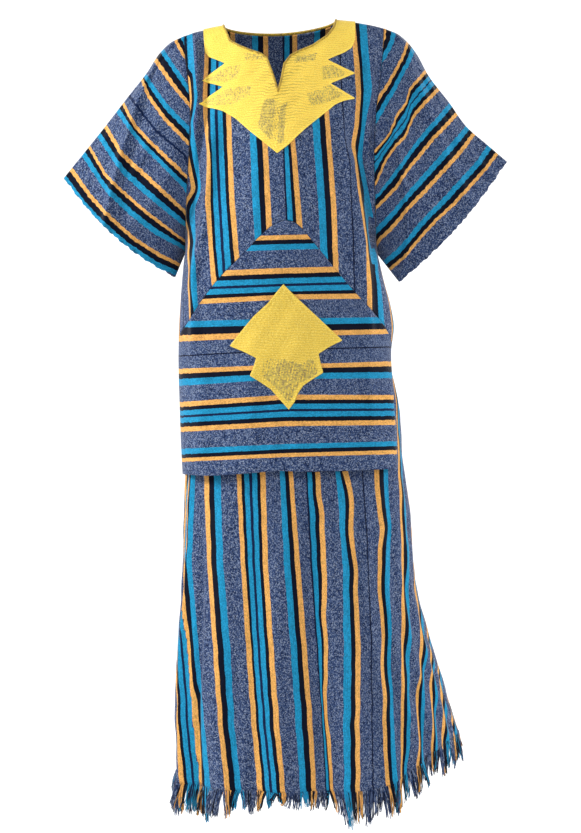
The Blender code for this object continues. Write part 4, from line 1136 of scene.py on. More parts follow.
# A row for each fold: its compass angle at the waist and at the hem, 0 in front and 90 at
# +X, the drop where it begins, its width, its depth at the hem, and how far it wanders.
Pleat = namedtuple("Pleat", "top_angle hem_angle begins width depth wander")
PLEATS = [Pleat(*row) for row in (
    (-67, -65, 0.44, 0.013, 0.015, 1.6), (-54, -52, 0.50, 0.013, -0.013, 1.0),
    (-36, -34, 0.55, 0.022, 0.012, 0.8), (-17, -15, 0.70, 0.018, -0.008, 1.0),
    (-3, -2, 0.60, 0.020, 0.010, 0.7), (14, 12, 0.45, 0.014, -0.013, 1.1),
    (24, 21, 0.50, 0.018, 0.012, 0.6), (36, 30.5, 0.55, 0.010, -0.005, 0.8),
    (42, 36, 0.42, 0.010, 0.004, 0.7), (47, 41, 0.45, 0.009, -0.004, 0.6),
    (53, 46.5, 0.45, 0.009, 0.004, 0.7), (58, 52, 0.50, 0.009, -0.004, 0.6),
    (63, 57.5, 0.52, 0.009, 0.0035, 0.8), (68, 63, 0.56, 0.009, -0.003, 0.7),
    (74, 68.5, 0.52, 0.009, 0.003, 0.8), (79, 74, 0.60, 0.009, -0.003, 0.9),
    (100, 104, 0.62, 0.020, -0.012, 1.5), (118, 120, 0.50, 0.024, 0.014, 1.2),
    (136, 137, 0.60, 0.020, -0.012, 1.0), (154, 153, 0.55, 0.024, 0.012, 1.2),
    (171, 170, 0.70, 0.020, -0.010, 0.9), (190, 188, 0.55, 0.022, 0.012, 1.1),
    (208, 207, 0.60, 0.020, -0.012, 1.0), (226, 227, 0.50, 0.022, 0.012, 1.3),
    (246, 248, 0.65, 0.020, -0.010, 1.0), (-82, -78, 0.46, 0.009, -0.012, 2.0),
    (-58, -55, 0.80, 0.007, 0.003, 1.4), (-26, -24, 0.76, 0.007, -0.003, 1.0),
    (5, 5, 0.85, 0.008, -0.003, 0.9), (30, 26, 0.75, 0.006, -0.004, 1.0),
    (86, 82, 0.80, 0.008, -0.006, 1.8), (93, 91, 0.90, 0.007, 0.005, 1.6),
    (110, 112, 0.78, 0.008, 0.004, 1.2), (145, 146, 0.80, 0.008, 0.004, 1.1),
    (180, 179, 0.84, 0.008, 0.003, 1.3), (199, 198, 0.80, 0.008, 0.003, 1.0),
    (236, 239, 0.74, 0.009, -0.004, 1.5), (260, 262, 0.66, 0.010, 0.006, 1.2),
)]


def skirt_point(compass, drop, outset=0.0):
    """Point of the skirt at a compass angle in degrees, 0 in front and 90 at +X.

    Each level is a flattened ellipse with its own reach to each side. The folds move it out
    and in along the way the cloth faces, and grow from where they begin to the hem.
    """
    compass, drop = np.broadcast_arrays(np.asarray(compass, float), np.asarray(drop, float))
    turn = np.radians(compass)
    side = np.sin(turn)
    ahead = np.cos(turn)
    half = side_reach(SKIRT_LEVELS, SKIRT_DROPS, drop, side < 0)
    reach = np.where(
        ahead > 0,
        smooth(drop, SKIRT_DROPS, column(SKIRT_LEVELS, "front")),
        smooth(drop, SKIRT_DROPS, column(SKIRT_LEVELS, "back")),
    )
    arch = np.sign(ahead) * np.abs(ahead) ** 0.8
    facing = unit(np.stack([side / half, -ahead / reach], axis=-1))
    relief = outset + slack(turn * SKIRT_RADIUS, drop, 0.9)
    for number, pleat in enumerate(PLEATS):
        share = np.clip((drop - SKIRT_TOP) / (SKIRT_HEM - SKIRT_TOP), 0, 1.05)
        crest = pleat.top_angle + (pleat.hem_angle - pleat.top_angle) * share
        crest = crest + pleat.wander * np.sin(drop * 17 + 2.4 * number) * share
        apart = (compass - crest + 180) % 360 - 180
        width = np.degrees(pleat.width / SKIRT_RADIUS)
        grown = rise(drop, pleat.begins, SKIRT_HEM + 0.10)
        relief = relief + pleat.depth * grown * np.exp(-(np.abs(apart / width) ** 1.8))
    return np.stack([
        half * side + relief * facing[..., 0],
        -reach * arch + relief * facing[..., 1],
        -drop,
    ], axis=-1)


def hem_drop(compass):
    """Drop of the skirt's hem: level, and higher round the +X side."""
    return SKIRT_HEM - HEM_RISE * rise(np.sin(np.radians(compass)), 0.45, 1.0)


# The stripes' edges at five heights of the photo: place, then x at each height.
SKIRT_HEIGHTS = (486, 566, 652, 726, 781)
SKIRT_LEFT_STRIPES = (
    (-30.5, (187.5, 184.7, 188.0, 193.0, 199.2)),
    (-2.8, (195.5, 192.3, 198.6, 204.8, 210.3)),
    (26.5, (204.3, 207.5, 213.4, 218.3, 223.8)),
    (34.7, (209, 211.5, 217.7, 222.6, 228.8)),
    (43.7, (213.8, 216.6, 223.2, 228, 234.3)),
    (54.2, (221, 223.4, 230.6, 234.3, 240.5)),
    (83.5, (237, 241, 246, 251.5, 256.5)),
    (91.7, (241.3, 245, 251.5, 256.4, 262)),
    (97.1, (244.5, 248.4, 253.4, 259.5, 265)),
    (106.3, (249.7, 253, 258.3, 263.8, 269.4)),
    (108.3, (251.6, 254.5, 259.5, 265.7, 271.2)),
    (117.5, (256.9, 259.3, 265, 269.4, 275.5)),
    (122.9, (260.3, 262.8, 268.8, 274, 279.5)),
    (131.1, (265.7, 268, 273.7, 279.2, 284)),
    (160.4, (280, 283.5, 290.3, 295.2, 299)),
    (170.9, (285.6, 290.4, 297, 302, 305.7)),
    (179.9, (289.3, 294.8, 301.4, 307.5, 310.9)),
    (188.1, (293.6, 300, 307, 312.4, 315.5)),
)
SKIRT_MIDDLE_SEAM = (306.6, 311, 317.4, 322.5, 325.5)
SKIRT_RIGHT_STRIPES = (
    (117.5, (311.9, 315.9, 321.7, 325.4, 329)),
    (122.9, (315.9, 320.4, 323.8, 326.6, 330.9)),
    (131.1, (320.7, 325.5, 327.8, 331, 334)),
    (160.4, (336.6, 342.2, 342.5, 342.8, 343.5)),
    (170.9, (343.8, 348.6, 350.3, 350.5, 350.7)),
    (179.9, (346.8, 352.6, 353.4, 354.5, 355.2)),
    (188.1, (352, 356.9, 359.3, 359.5, 359.7)),
    (214.6, (363, 367.9, 371.3, 372, 372.7)),
    (241.1, (374.9, 378, 380.7, 382.5, 385)),
    (249.3, (379.7, 382, 384, 386.5, 389)),
    (258.3, (384, 385.2, 387.4, 389.8, 392)),
    (268.8, (388.4, 390, 390.8, 394, 397.6)),
    (298.1, (398, 401.2, 401, 400.5, 400)),
)
# Small waves of some stripes: the place in their middle, how far they spread, and how far
# the cloth sways to the side at heights of the photo.
SKIRT_SWAYS = (
    (250, 26, ((472, -1), (500, 0), (528, 3.4), (552, 0), (566, -0.5), (591, -2), (616, 0.8),
               (640, 1), (666, -1.6), (691, 0.8), (726, 0), (760, -0.5), (792, 1.5))),
    (127, 14, ((472, 0), (495, -0.4), (513, 2.3), (540, 1.1), (581, 1.1), (601, 0.4), (613, -2.2),
               (631, 0.6), (666, -0.6), (691, -2.6), (711, -4.4), (731, -1.2), (764, -1.2),
               (791, -1))),
    (181, 16, ((472, -4.6), (486, -1), (500, 1.8), (515, -0.8), (540, -2.6), (570, 1.5),
               (591, -0.4), (626, 1.4), (666, 1.4), (720, 0))),
)
# Far to the left folds hide part of the strips: left of each place what follows them shows.
LEFT_FOLDS = ((0.057, 0.0100), (0.091, -0.0305))
SKIRT_COLUMNS = 216
SKIRT_ROWS = 142
CLOSE_FOLDS = (32, 82)       # compass angles between which the grid's columns lie closer
CLOSENESS = 2.4
SIDE_ROUNDS = 240            # of evening out the lie of the stripes towards the sides
WIDE_ROUNDS = 60             # of them over the whole width, the rest over its right half
ROW_ROUNDS = 24              # and from row to row as well
FRONTAL = (0.42, 0.56)       # cosine of the compass: the even lie, the folds' own
FIRM = (0.10, 0.42)          # and how firmly the stripes keep their places


def skirt_lines(stripes, waves):
    """Each stripe's edge through its heights, with the small waves added."""
    heights = np.arange(464, 826, 8)
    lines = []
    for place, across in stripes:
        seen = line_at(tuple(zip(SKIRT_HEIGHTS, across)), heights)
        for middle, spread, sways in waves:
            sway = np.interp(heights, *np.array(sways).T)
            seen = seen + np.exp(-((place - middle) / spread) ** 2) * sway
        lines.append((place, tuple(zip(heights, seen))))
    return lines


# Right of 298.1 mm the strips show the same orange, navy, blue and grey again and again: a
# row for each orange stripe's outer edge, as y and x in the photo.
REPEAT_FROM = 0.2981
REPEAT = 0.057
FAN_STRIPES = (
    ((486, 404), (560, 411.3), (586, 412.5), (604, 416), (621, 417.7), (652, 420), (671, 419.5),
     (682, 418.3), (692, 415.7), (710, 415.8), (727, 417.4), (744, 419.1), (760, 416.5),
     (777, 415.1)),
    ((486, 408), (566, 418), (638, 428.3), (657, 428.5), (671, 429.6), (682, 428.6), (699, 430.4),
     (716, 431.7), (734, 431.3), (751, 431), (769, 432.2)),
    ((486, 410.5), (566, 421), (647, 430.8), (664, 434.8), (682, 437.4), (699, 439.7),
     (716, 440.5), (734, 441.4), (751, 440.2), (769, 440)),
    ((486, 412.5), (566, 423), (652, 436.5), (696, 447), (708, 448.7), (725, 450.8), (743, 452.2),
     (760, 456.2)),
)


def hidden_by_folds(left, right):
    """How far the left strip's places and the right strip's jump where folds hide cloth."""
    again = np.floor((right - REPEAT_FROM) / REPEAT) + 1
    shift = sum(hidden * (left < place) for hidden, place in LEFT_FOLDS)
    return shift, -REPEAT * np.maximum(again, 0)


skirt_cloths = {}
for half_name, first_angle, half in (("front", -90, -1), ("back", 90, 1)):
    compass = np.linspace(first_angle, first_angle + 180, SKIRT_COLUMNS)
    if half < 0:
        fine = np.linspace(first_angle, first_angle + 180, 721)
        close = (fine > CLOSE_FOLDS[0]) & (fine < CLOSE_FOLDS[1])
        closeness = np.cumsum(np.where(close, CLOSENESS, 1.0))
        closeness = (closeness - closeness[0]) / (closeness[-1] - closeness[0])
        compass = np.interp(np.linspace(0, 1, SKIRT_COLUMNS), closeness, fine)
    rows = np.linspace(0, 1, SKIRT_ROWS)[:, None]
    grid = skirt_point(compass, SKIRT_TOP + (hem_drop(compass) - SKIRT_TOP) * rows)
    grid[..., 1] += HALF_SEAM * half
    seen_x, seen_y = photo_pixels(grid)
    if half < 0:
        # Towards the sides the folds hide some cloth, so there the stripes follow its even lie.
        even_x = seen_x.copy()
        for done in range(SIDE_ROUNDS):
            even_out(even_x.T if done < WIDE_ROUNDS else even_x.T[SKIRT_COLUMNS // 2 - 1:])
            if done < ROW_ROUNDS:
                even_out(even_x)
        facing_photo = np.cos(np.radians(compass))
        seen_x = even_x + (seen_x - even_x) * rise(facing_photo, *FRONTAL)
        maps = seamed_places(
            grid, skirt_lines(SKIRT_LEFT_STRIPES, ()),
            skirt_lines(SKIRT_RIGHT_STRIPES, SKIRT_SWAYS)
            + [(298.1 + 57 * (k + 1), line) for k, line in enumerate(FAN_STRIPES)],
            tuple(zip(SKIRT_HEIGHTS, SKIRT_MIDDLE_SEAM)),
            lambda line: seen_x - line_at(line, seen_y), rise(facing_photo, *FIRM),
        )
        shift, repeat = hidden_by_folds(*(
            (each[:-1, :-1] + each[1:, :-1] + each[:-1, 1:] + each[1:, 1:]) / 4 for each in maps[:2]
        ))
    else:
        shift = repeat = 0.0
        around = run_along(grid, 1)
        past = around - around[:, SKIRT_COLUMNS // 2][:, None]
        maps = past + LEFT_END, past + RIGHT_START, past
    piece = cloth_piece(
        f"skirt_{half_name}_cloth", grid, maps[0], run_along(grid, 0), body_cloth,
        other=maps[1], beside=maps[2], shift=shift, repeat=repeat,
    )
    skirt_cloths[half_name] = (piece, compass, maps)
    put_in_frame(piece, "skirt_" + half_name)

# The skirt's waistband: a straight band of the same strips sewn round the skirt's top edge.
# The smock hides it in the photo.

BAND_TOP = 0.350
BAND_GAP = 0.00045
band_compass = np.linspace(0, 360, 181)
band_drops = np.linspace(BAND_TOP, SKIRT_TOP - BAND_GAP, 14)[:, None]
band_grid = skirt_point(band_compass, band_drops)
band_along = run_along(band_grid, 1)
waistband = cloth_piece(
    "skirt_waistband_cloth", band_grid, band_along, run_along(band_grid, 0), body_cloth,
)
weld(waistband, "band_end")
put_in_frame(waistband, "skirt_waistband")

# The fringe: the warp threads left long below the hem and bunched into uneven locks, in the
# colours of the stripes above them.

LOCKS = 64                   # bunches along each half of the hem
STRANDS = 14                 # twisted threads drawn in each bunch
STRAND_RINGS = 7
STRAND_SIDES = 4
STRAND_RADIUS = 0.00150
STRAND_WAVE = 0.0011
FRINGE_FALL = 0.045
FRINGE_RANGE = (0.022, 0.066)
LOCK_LEAN = 0.016            # how far a lock's end may lie to the side
LOCK_FLARE = 0.009           # and out from the hem
LOCK_SPLAY = 0.004           # spread of its threads' ends, less LOCK_GATHER
LOCK_GATHER = 0.0068
LOCK_CURL = 0.0045
STRAND_CURL = 0.0035
DARK_YARN = 0.0395           # place of a navy stripe, whose threads stray into every lock
DARK_SHARE = 0.14
YARN_LENGTH = 0.05           # of its map; each lock starts LOCK_START further along
LOCK_START = 0.013
# How far down the photo the locks in front reach, as x and y.
FRINGE_ENDS = (
    (172, 786), (178, 820), (186, 817), (196, 823), (208, 826), (219, 831), (225, 825), (240, 817),
    (260, 814), (275, 805), (292, 813), (305, 814), (318, 808), (335, 824), (345, 831), (365, 831),
    (380, 824), (398, 826), (405, 804), (418, 794), (430, 785), (440, 780), (455, 768), (467, 750),
)


def strand_grid(roots, ends, curls, phases):
    """Tubes from root to end: each centre line sags inward to its bunch and waves a little.

    roots and ends are arrays of points, curls how far each strand bends out on its way.
    """
    t = np.linspace(0, 1, STRAND_RINGS)[None, :, None]
    line = roots[:, None] + (ends - roots)[:, None] * t
    line = line + curls[:, None] * np.sin(np.pi * t) * (1 - 0.4 * t)
    line[..., 0] += STRAND_WAVE * np.sin(phases[:, None] + 7 * t[..., 0]) * t[..., 0]
    line[..., 1] += STRAND_WAVE * np.cos(1.7 * phases[:, None] + 6 * t[..., 0]) * t[..., 0]
    around = np.linspace(0, 2 * np.pi, STRAND_SIDES, endpoint=False)
    circle = np.stack([np.cos(around), np.sin(around), np.zeros(STRAND_SIDES)], axis=-1)
    radius = STRAND_RADIUS * (1 - 0.55 * t[..., None])
    radius = radius * (0.8 + 0.3 * np.sin(phases))[:, None, None, None]
    return line[:, :, None] + radius * circle[None, None]


# Loose warp yarn in the strip's own colours: its speckle is drawn out into flecks 6 mm long
# and 0.9 mm wide along each thread.
yarn_cloth = strip_cloth("loose_cotton_warp_yarn", STRIP, across=0.0009, along=0.0060)
for half_name, first_angle, half in (("front", -90, -1), ("back", 90, 1)):
    cloth, compass, maps = skirt_cloths[half_name]
    draw = np.random.default_rng(71 + half)
    lock = np.repeat(np.arange(LOCKS), STRANDS)
    within = np.tile(np.arange(STRANDS), LOCKS) / (STRANDS - 1) - 0.5
    step = 180 / LOCKS
    middle = first_angle + (lock + 0.5) * step
    start = np.clip(middle + within * step * 1.05, first_angle + 0.3, first_angle + 179.7)
    drops = hem_drop(start)
    roots = skirt_point(start, drops - 0.001)
    facing = unit(skirt_point(start, drops, 0.01) - skirt_point(start, drops))
    beside = np.stack([-facing[:, 1], facing[:, 0], np.zeros(len(facing))], axis=-1)
    if half < 0:
        seen, _ = photo_pixels(roots)
        reach = np.interp(seen, *np.array(FRINGE_ENDS).T)
        depth = CAMERA_DISTANCE / (CAMERA_DISTANCE + roots[:, 1])
        length = -(CAMERA_Z - (reach - PHOTO_HEIGHT / 2) * PIXEL / depth) + roots[:, 2]
        length = np.clip(length, *FRINGE_RANGE)
    else:
        length = np.full(len(roots), FRINGE_FALL)
    length = length * (0.68 + 0.32 * draw.random(LOCKS))[lock]
    length = length * (0.80 + 0.20 * draw.random(len(lock)))
    lean = (draw.random(LOCKS) - 0.5)[lock] * LOCK_LEAN
    flare = (0.2 + draw.random(LOCKS))[lock] * LOCK_FLARE
    splay = within * LOCK_SPLAY * (0.4 + draw.random(LOCKS))[lock]
    aside = lean + splay - within * LOCK_GATHER
    ends = roots + beside * aside[:, None] + facing * flare[:, None]
    ends[:, 2] -= length
    curls = facing * (STRAND_CURL * (draw.random(len(lock)) - 0.35))[:, None]
    curls = curls + beside * (LOCK_CURL * (draw.random(LOCKS) - 0.5)[lock])[:, None]
    tubes = strand_grid(roots, ends, curls, draw.random(len(lock)) * 6.28)
    ring = STRAND_SIDES
    tips = np.arange(len(roots))[:, None] * STRAND_RINGS * ring
    base = tips[:, None] + np.arange(STRAND_RINGS - 1)[None, :, None] * ring
    corner = np.arange(ring)[None, None]
    after = (corner + 1) % ring
    quads = np.stack(
        [base + corner, base + after, base + ring + after, base + ring + corner], axis=-1
    )
    caps = np.vstack([
        tips + np.arange(ring)[::-1],
        tips + (STRAND_RINGS - 1) * ring + np.arange(ring),
    ])
    faces = np.vstack([quads.reshape(-1, 4), caps])
    piece = mesh_object(f"skirt_fringe_{half_name}_yarn", tubes, faces)
    left_hem = np.interp(start, compass, maps[0][-1])
    right_hem = np.interp(start, compass, maps[1][-1])
    if half < 0:
        shift, repeat = hidden_by_folds(left_hem, right_hem)
        left_hem = left_hem + shift
        right_hem = right_hem + repeat
    past_hem = np.interp(start, compass, maps[2][-1])
    place = np.where(past_hem > 0, right_hem, left_hem) + 0.010 * (draw.random(len(lock)) - 0.5)
    place = np.where(draw.random(len(lock)) < DARK_SHARE, DARK_YARN, place)
    shape = tubes.shape[:3]
    place = np.broadcast_to(place[:, None, None], shape)
    along = np.broadcast_to(np.linspace(0, YARN_LENGTH, STRAND_RINGS)[None, :, None], shape)
    give_map(piece, "weave", place, along + LOCK_START * lock[:, None, None], faces)
    give_map(piece, "seam", place, np.full(shape, -1.0), faces)
    piece.data.materials.append(yarn_cloth)
    put_in_frame(piece, "skirt_fringe_" + half_name)

# The yoke: a spiked plate of close yellow machine stitching round the neck, over the front's
# cloth, thick and glossy where it is dense and showing the cloth where it is thin.

YOKE_OUTLINE = (
    (-0.134, 0.000), (-0.133, -0.026), (-0.130, -0.060), (-0.122, -0.070), (-0.095, -0.083),
    (-0.136, -0.110), (-0.098, -0.123), (-0.141, -0.150), (-0.124, -0.156), (-0.098, -0.165),
    (-0.077, -0.179), (-0.054, -0.201), (-0.030, -0.222), (-0.009, -0.240), (0.008, -0.227),
    (0.034, -0.201), (0.066, -0.172), (0.085, -0.155), (0.100, -0.147), (0.120, -0.142),
    (0.078, -0.119), (0.120, -0.099), (0.073, -0.078), (0.102, -0.064), (0.114, -0.055),
    (0.120, -0.041), (0.121, -0.011), (0.122, 0.010),
)
YOKE_TIP = 13                # number of the outline's lowest point
SLIT_POINT = 10              # number of the neckline's lowest point
STITCHED = 0.0013            # thickness of the stitched cloth
LAID_ON = 0.0018             # from the middle of the panel to the middle of the yoke
YOKE_ROWS = 168
YOKE_COLUMNS = 46
YOKE_BORDER = 0.0032         # width of the closer row of stitches along the edge
BORDER_RISE = 0.0004         # and how much higher it stands
RIPPLE = 0.00018
HATCH_PITCH = 0.0034         # of the open rows in the thin places
# These lines are bumped into the stitching and also darkened in its colour, as painted shade of
# their valleys.
PUCKER_PITCH = 0.0054        # of the lines that the stitching draws the cloth into
DRIFT_SCALE = 55.0           # changes of tone to a metre, each about 18 mm wide
ROW_SCALE = 78.0             # of the wave of the rows, which puts them about 4 mm apart
THREAD_SCALE = 620.0         # threads to a metre: 1.6 mm, coarser than the real ones, to show
GRAIN_SCALE = 480.0          # grains to a metre where the cloth shows through, 2 mm wide
# Thin places of the stitching: how open, and the outline in photo points.
THIN_PLACES = (
    (0.95, ((265, 99.6), (273.4, 99.6), (275, 112), (270.3, 139.4), (258, 127), (261, 112))),
    (0.95, ((281, 105.7), (287, 102.7), (285.6, 118), (283.3, 142.5), (277.2, 144), (278, 125.6))),
    (0.50, ((273, 99.6), (282, 103), (279, 125), (276, 141), (270, 139), (275, 112))),
    (0.80, ((296.4, 56.7), (317.8, 53), (314.7, 60.6), (293.3, 62.9))),
    (0.65, ((244.3, 53), (263.4, 55), (265.7, 59.8), (245.8, 60.6))),
    (0.75, ((322.4, 66), (332, 65), (346, 73), (342, 77), (322.4, 79.7))),
    (0.70, ((307, 93.5), (317.8, 90.4), (330, 84.3), (345, 95), (325.4, 103.4), (310, 105.7))),
    (0.62, ((205, 80.5), (227.5, 67), (241, 64.4), (238, 78), (226, 82))),
    (0.62, ((202, 104), (230.5, 87.4), (252, 85.8), (250.4, 95), (236.6, 103.7), (218.3, 106))),
    (0.45, ((262.5, 359), (286, 359), (286, 375), (262.5, 375))),
    (0.80, ((286, 360), (300, 364), (312, 358), (318, 372), (312, 379), (300, 382), (289, 403),
            (272, 384), (262, 376))),
)


def inside(across, down, outline):
    """Even and odd crossings of a level line tell which points an outline holds."""
    held = np.zeros(across.shape, bool)
    for start, end in zip(outline, outline[1:] + outline[:1]):
        spans = (start[1] > down) != (end[1] > down)
        fall = end[1] - start[1]
        held ^= spans & (across < start[0] + (end[0] - start[0]) * (down - start[1]) / (fall or 1))
    return held


def distance_to(points, line):
    """Least distance of flat points from the stretches of a line."""
    least = np.full(points.shape[:-1], 1e9)
    for start, end in zip(line, line[1:]):
        stretch = end - start
        t = np.clip((points - start) @ stretch / max(float(stretch @ stretch), 1e-12), 0, 1)
        apart = points - (start + t[..., None] * stretch)
        least = np.minimum(least, np.linalg.norm(apart, axis=-1))
    return least


def laid_on(angle, down, out, back=False):
    """Point of the panel moved out along the way the panel faces."""
    step = 0.0015
    right = smock_point(np.clip(angle + step, -1, 1), down, back)
    lower = smock_point(angle, down + step, back)
    upper = smock_point(angle, np.clip(down - step, 0, None), back)
    normal = np.cross(lower - upper, right - smock_point(angle - step, down, back))
    normal = unit(-normal if back else normal)
    return smock_point(angle, down, back) + normal * np.asarray(out)[..., None]


def flat_points(angle, down):
    """Points of a panel laid flat, in metres."""
    return np.stack([angle * HALF_CLOTH, down], axis=-1)


def stitched_material(name, tone):
    """Close rows of glossy yellow thread over cloth: dense satin that thins to open hatching.

    The "thin" attribute says how open the rows are, "border" how near the edge is and the
    third how deep the cloth is pulled in, which sets both the puckered bump and dark level
    lines in the colour: painted shade of the puckered valleys.
    """
    material, tree, shader = new_material(
        name, 0.62,
        {"Sheen Weight": 0.30, "Sheen Roughness": 0.35, "Specular IOR Level": 0.35},
    )
    calc = partial(math_node, tree)
    flat = uv_of(tree, "stitch")
    thin, border, pucker_and_shade = (
        add_node(tree, "ShaderNodeAttribute", attribute_name=label).outputs["Fac"]
        for label in ("thin", "border", "pucker_and_painted_shade")
    )
    drift = noise_of(tree, flat, DRIFT_SCALE)
    rows = add_node(
        tree, "ShaderNodeTexWave",
        {
            "Vector": flat, "Scale": ROW_SCALE, "Distortion": 9.0, "Detail": 2.0,
            "Detail Scale": 0.35,
        },
        wave_type="BANDS", bands_direction="Y",
    ).outputs["Fac"]
    fine = noise_of(tree, flat, THREAD_SCALE, 0.7)
    cell = cell_tones(tree, flat, GRAIN_SCALE)
    yellow = ramp_of(tree, fine, (
        (0.30, "#DDB23A"), (0.45, "#F3CD48"), (0.58, "#FBDC5C"), (0.74, "#FFEA88"),
    ), "LINEAR")
    ground = ramp_of(tree, cell["Red"], (
        (0.0, "#9A8652"), (0.40, "#BFA858"), (0.72, "#D9C056"),
    ), "LINEAR")
    lie = parts_of(tree, flat)
    slant = calc("MULTIPLY", lie["Y"], 260.0)
    hatch = calc("SINE", calc("MULTIPLY_ADD", lie["X"], 2 * math.pi / HATCH_PITCH, slant))
    hatch = calc("MULTIPLY_ADD", hatch, 0.19, 0.19)
    open_rows = calc("MULTIPLY_ADD", cell["Green"], 0.62, hatch)
    shown = calc("LESS_THAN", open_rows, calc("MULTIPLY", thin, 0.86))
    # Level lines where the stitching pulls the cloth in: they lower the bump, and darken the colour
    # by up to half as painted shade of the puckered valleys.
    wander = calc("SINE", calc("MULTIPLY", lie["X"], 70.0))
    wander = calc("MULTIPLY_ADD", wander, 2.2, calc("MULTIPLY", drift, 9.0))
    line = calc("SINE", calc("MULTIPLY_ADD", lie["Y"], 2 * math.pi / PUCKER_PITCH, wander))
    line = calc("MAXIMUM", calc("MULTIPLY_ADD", line, 1.25, -0.25), 0.0)
    line = calc("MULTIPLY", line, pucker_and_shade)
    mixed = mixed_colour(tree, shown, yellow.outputs["Color"], ground.outputs["Color"])
    darker = calc("MULTIPLY_ADD", rows, 0.16, 0.90)
    darker = calc("MULTIPLY", darker, calc("MULTIPLY_ADD", drift, 0.16, 0.92))
    # Painted shade: the colour is darkened along the puckered lines.
    darker = calc("MULTIPLY", darker, calc("MULTIPLY_ADD", line, -0.50, 1.0))
    # Painted highlight: the raised border row is made lighter in colour.
    lit = calc("MULTIPLY_ADD", border, 0.08, darker)
    # The tone scales the colour; the emblem's lower tone is painted shade.
    toned = shaded_colour(tree, mixed, calc("MULTIPLY", lit, tone))
    height = calc("MULTIPLY_ADD", rows, 0.7, fine)
    height = calc("MULTIPLY_ADD", line, -1.6, height)
    set_surface(tree, shader, toned, height, 0.45, 0.0007)
    return material


yoke_stitching = stitched_material("yellow_machine_stitching", 1.10)


def stitched_piece(name, grids, outline, stitching, back=False):
    """Stitched cloth on a panel, from grids of angles and downs that meet edge to edge.

    The stitches stand highest in the border row, and in between in slight ripples. Under the
    slit of the front another attribute puts level lines in them, as bump and painted shade.
    """
    points, faces, uvs, thins, borders, pucker_and_shade_depths = [], [], [], [], [], []
    count = 0
    for angle, down in grids:
        flat = flat_points(angle, down)
        edge = distance_to(flat, outline)
        near = np.exp(-((edge - YOKE_BORDER / 2) / (YOKE_BORDER / 2)) ** 2)
        across = angle * HALF_CLOTH
        # Where the cloth is pulled in under the slit: it sets the puckered bump and the painted
        # shade of its valleys.
        pucker_and_shade_depth = np.zeros(angle.shape) if back else (
            np.exp(-(np.abs((across + 0.012) / 0.062) ** 3))
            * (0.72 + 0.28 * np.sin(across * 130 + down * 240))
            * rise(down, 0.085, 0.135) * (1 - rise(down, 0.225, 0.270))
        )
        ripple = RIPPLE * np.sin(flat[..., 0] * 900 + 2 * np.sin(down * 300))
        grid = laid_on(angle, down, LAID_ON + BORDER_RISE * near + ripple, back)
        seen_x, seen_y = photo_pixels(grid)
        thin = np.zeros(angle.shape)
        if not back:
            for openness, place in THIN_PLACES:
                thin = np.maximum(thin, openness * inside(seen_x, seen_y, place))
        thin = np.clip(thin * (1 - 0.9 * near), 0, 1)
        points.append(grid.reshape(-1, 3))
        faces.append(quads_of(*angle.shape, flip=back) + count)
        uvs.append(flat.reshape(-1, 2))
        thins.append(thin.reshape(-1))
        borders.append(near.reshape(-1))
        pucker_and_shade_depths.append(pucker_and_shade_depth.reshape(-1))
        count += angle.size
    points, faces, uvs = np.vstack(points), np.vstack(faces), np.vstack(uvs)
    piece = mesh_object(name, points, faces)
    give_map(piece, "stitch", uvs[:, 0], uvs[:, 1], faces)
    for label, values in (("thin", thins), ("border", borders), ("pucker_and_painted_shade", pucker_and_shade_depths)):
        layer = piece.data.attributes.new(label, "FLOAT", "POINT")
        layer.data.foreach_set("value", np.concatenate(values).astype(np.float32))
    weld(piece, "join")
    thicken(piece, STITCHED)
    piece.data.materials.append(stitching)
    return piece


def side_of(points):
    """A side of an outline from the top: downs, made to rise all the way, and angles."""
    line = pattern_line(points)
    downs = np.maximum.accumulate(line[:, 1] + 1e-7 * np.arange(len(line)))
    return downs, line[:, 0]


left_side = side_of(YOKE_OUTLINE[:YOKE_TIP + 1])
right_side = side_of(YOKE_OUTLINE[:YOKE_TIP - 1:-1])
left_neck = side_of(NECKLINE[:SLIT_POINT + 1])
right_neck = side_of(NECKLINE[:SLIT_POINT - 1:-1])
tip_angle, tip_down = left_side[1][-1], left_side[0][-1]
slit_angle, slit_down = left_neck[1][-1], left_neck[0][-1]


def inner_edge(neck, downs):
    """Angle of the neck's edge, and below the slit of the line from it to the yoke's tip."""
    below = slit_angle + (tip_angle - slit_angle) * (downs - slit_down) / (tip_down - slit_down)
    return np.where(downs < slit_down, np.interp(downs, *neck), below)


yoke_downs = np.unique(np.concatenate([np.linspace(0, tip_down, YOKE_ROWS), [slit_down]]))
across_share = np.linspace(0, 1, YOKE_COLUMNS)
yoke_grids = []
for outer, neck, order in ((left_side, left_neck, 1), (right_side, right_neck, -1)):
    outer_angle = np.interp(yoke_downs, *outer)[:, None]
    inner_angle = inner_edge(neck, yoke_downs)[:, None]
    angles = outer_angle + (inner_angle - outer_angle) * across_share
    yoke_grids.append((angles[:, ::order], np.broadcast_to(yoke_downs[:, None], angles.shape)))
yoke_edge = pattern_line(YOKE_OUTLINE) * (HALF_CLOTH, 1)
yoke_front = stitched_piece("yoke_front_stitching", yoke_grids, yoke_edge, yoke_stitching)
put_in_frame(yoke_front, "yoke_front")

# The yoke's band round the back of the neck: the same close yellow stitching, 32 mm wide,
# sewn through the smock's back. The photo doesn't show it.

YOKE_BAND = 0.032
band_share = np.linspace(0, 1, 20)[:, None]
inner = back_neck(0, 121)
outer = back_neck(YOKE_BAND, 121)
band_angles = inner[:, 0] + (outer[:, 0] - inner[:, 0]) * band_share
band_downs = inner[:, 1] + (outer[:, 1] - inner[:, 1]) * band_share
yoke_back = stitched_piece(
    "yoke_back_stitching", [(band_angles, band_downs)], outer * (HALF_CLOTH, 1), yoke_stitching,
    back=True,
)
put_in_frame(yoke_back, "yoke_back")
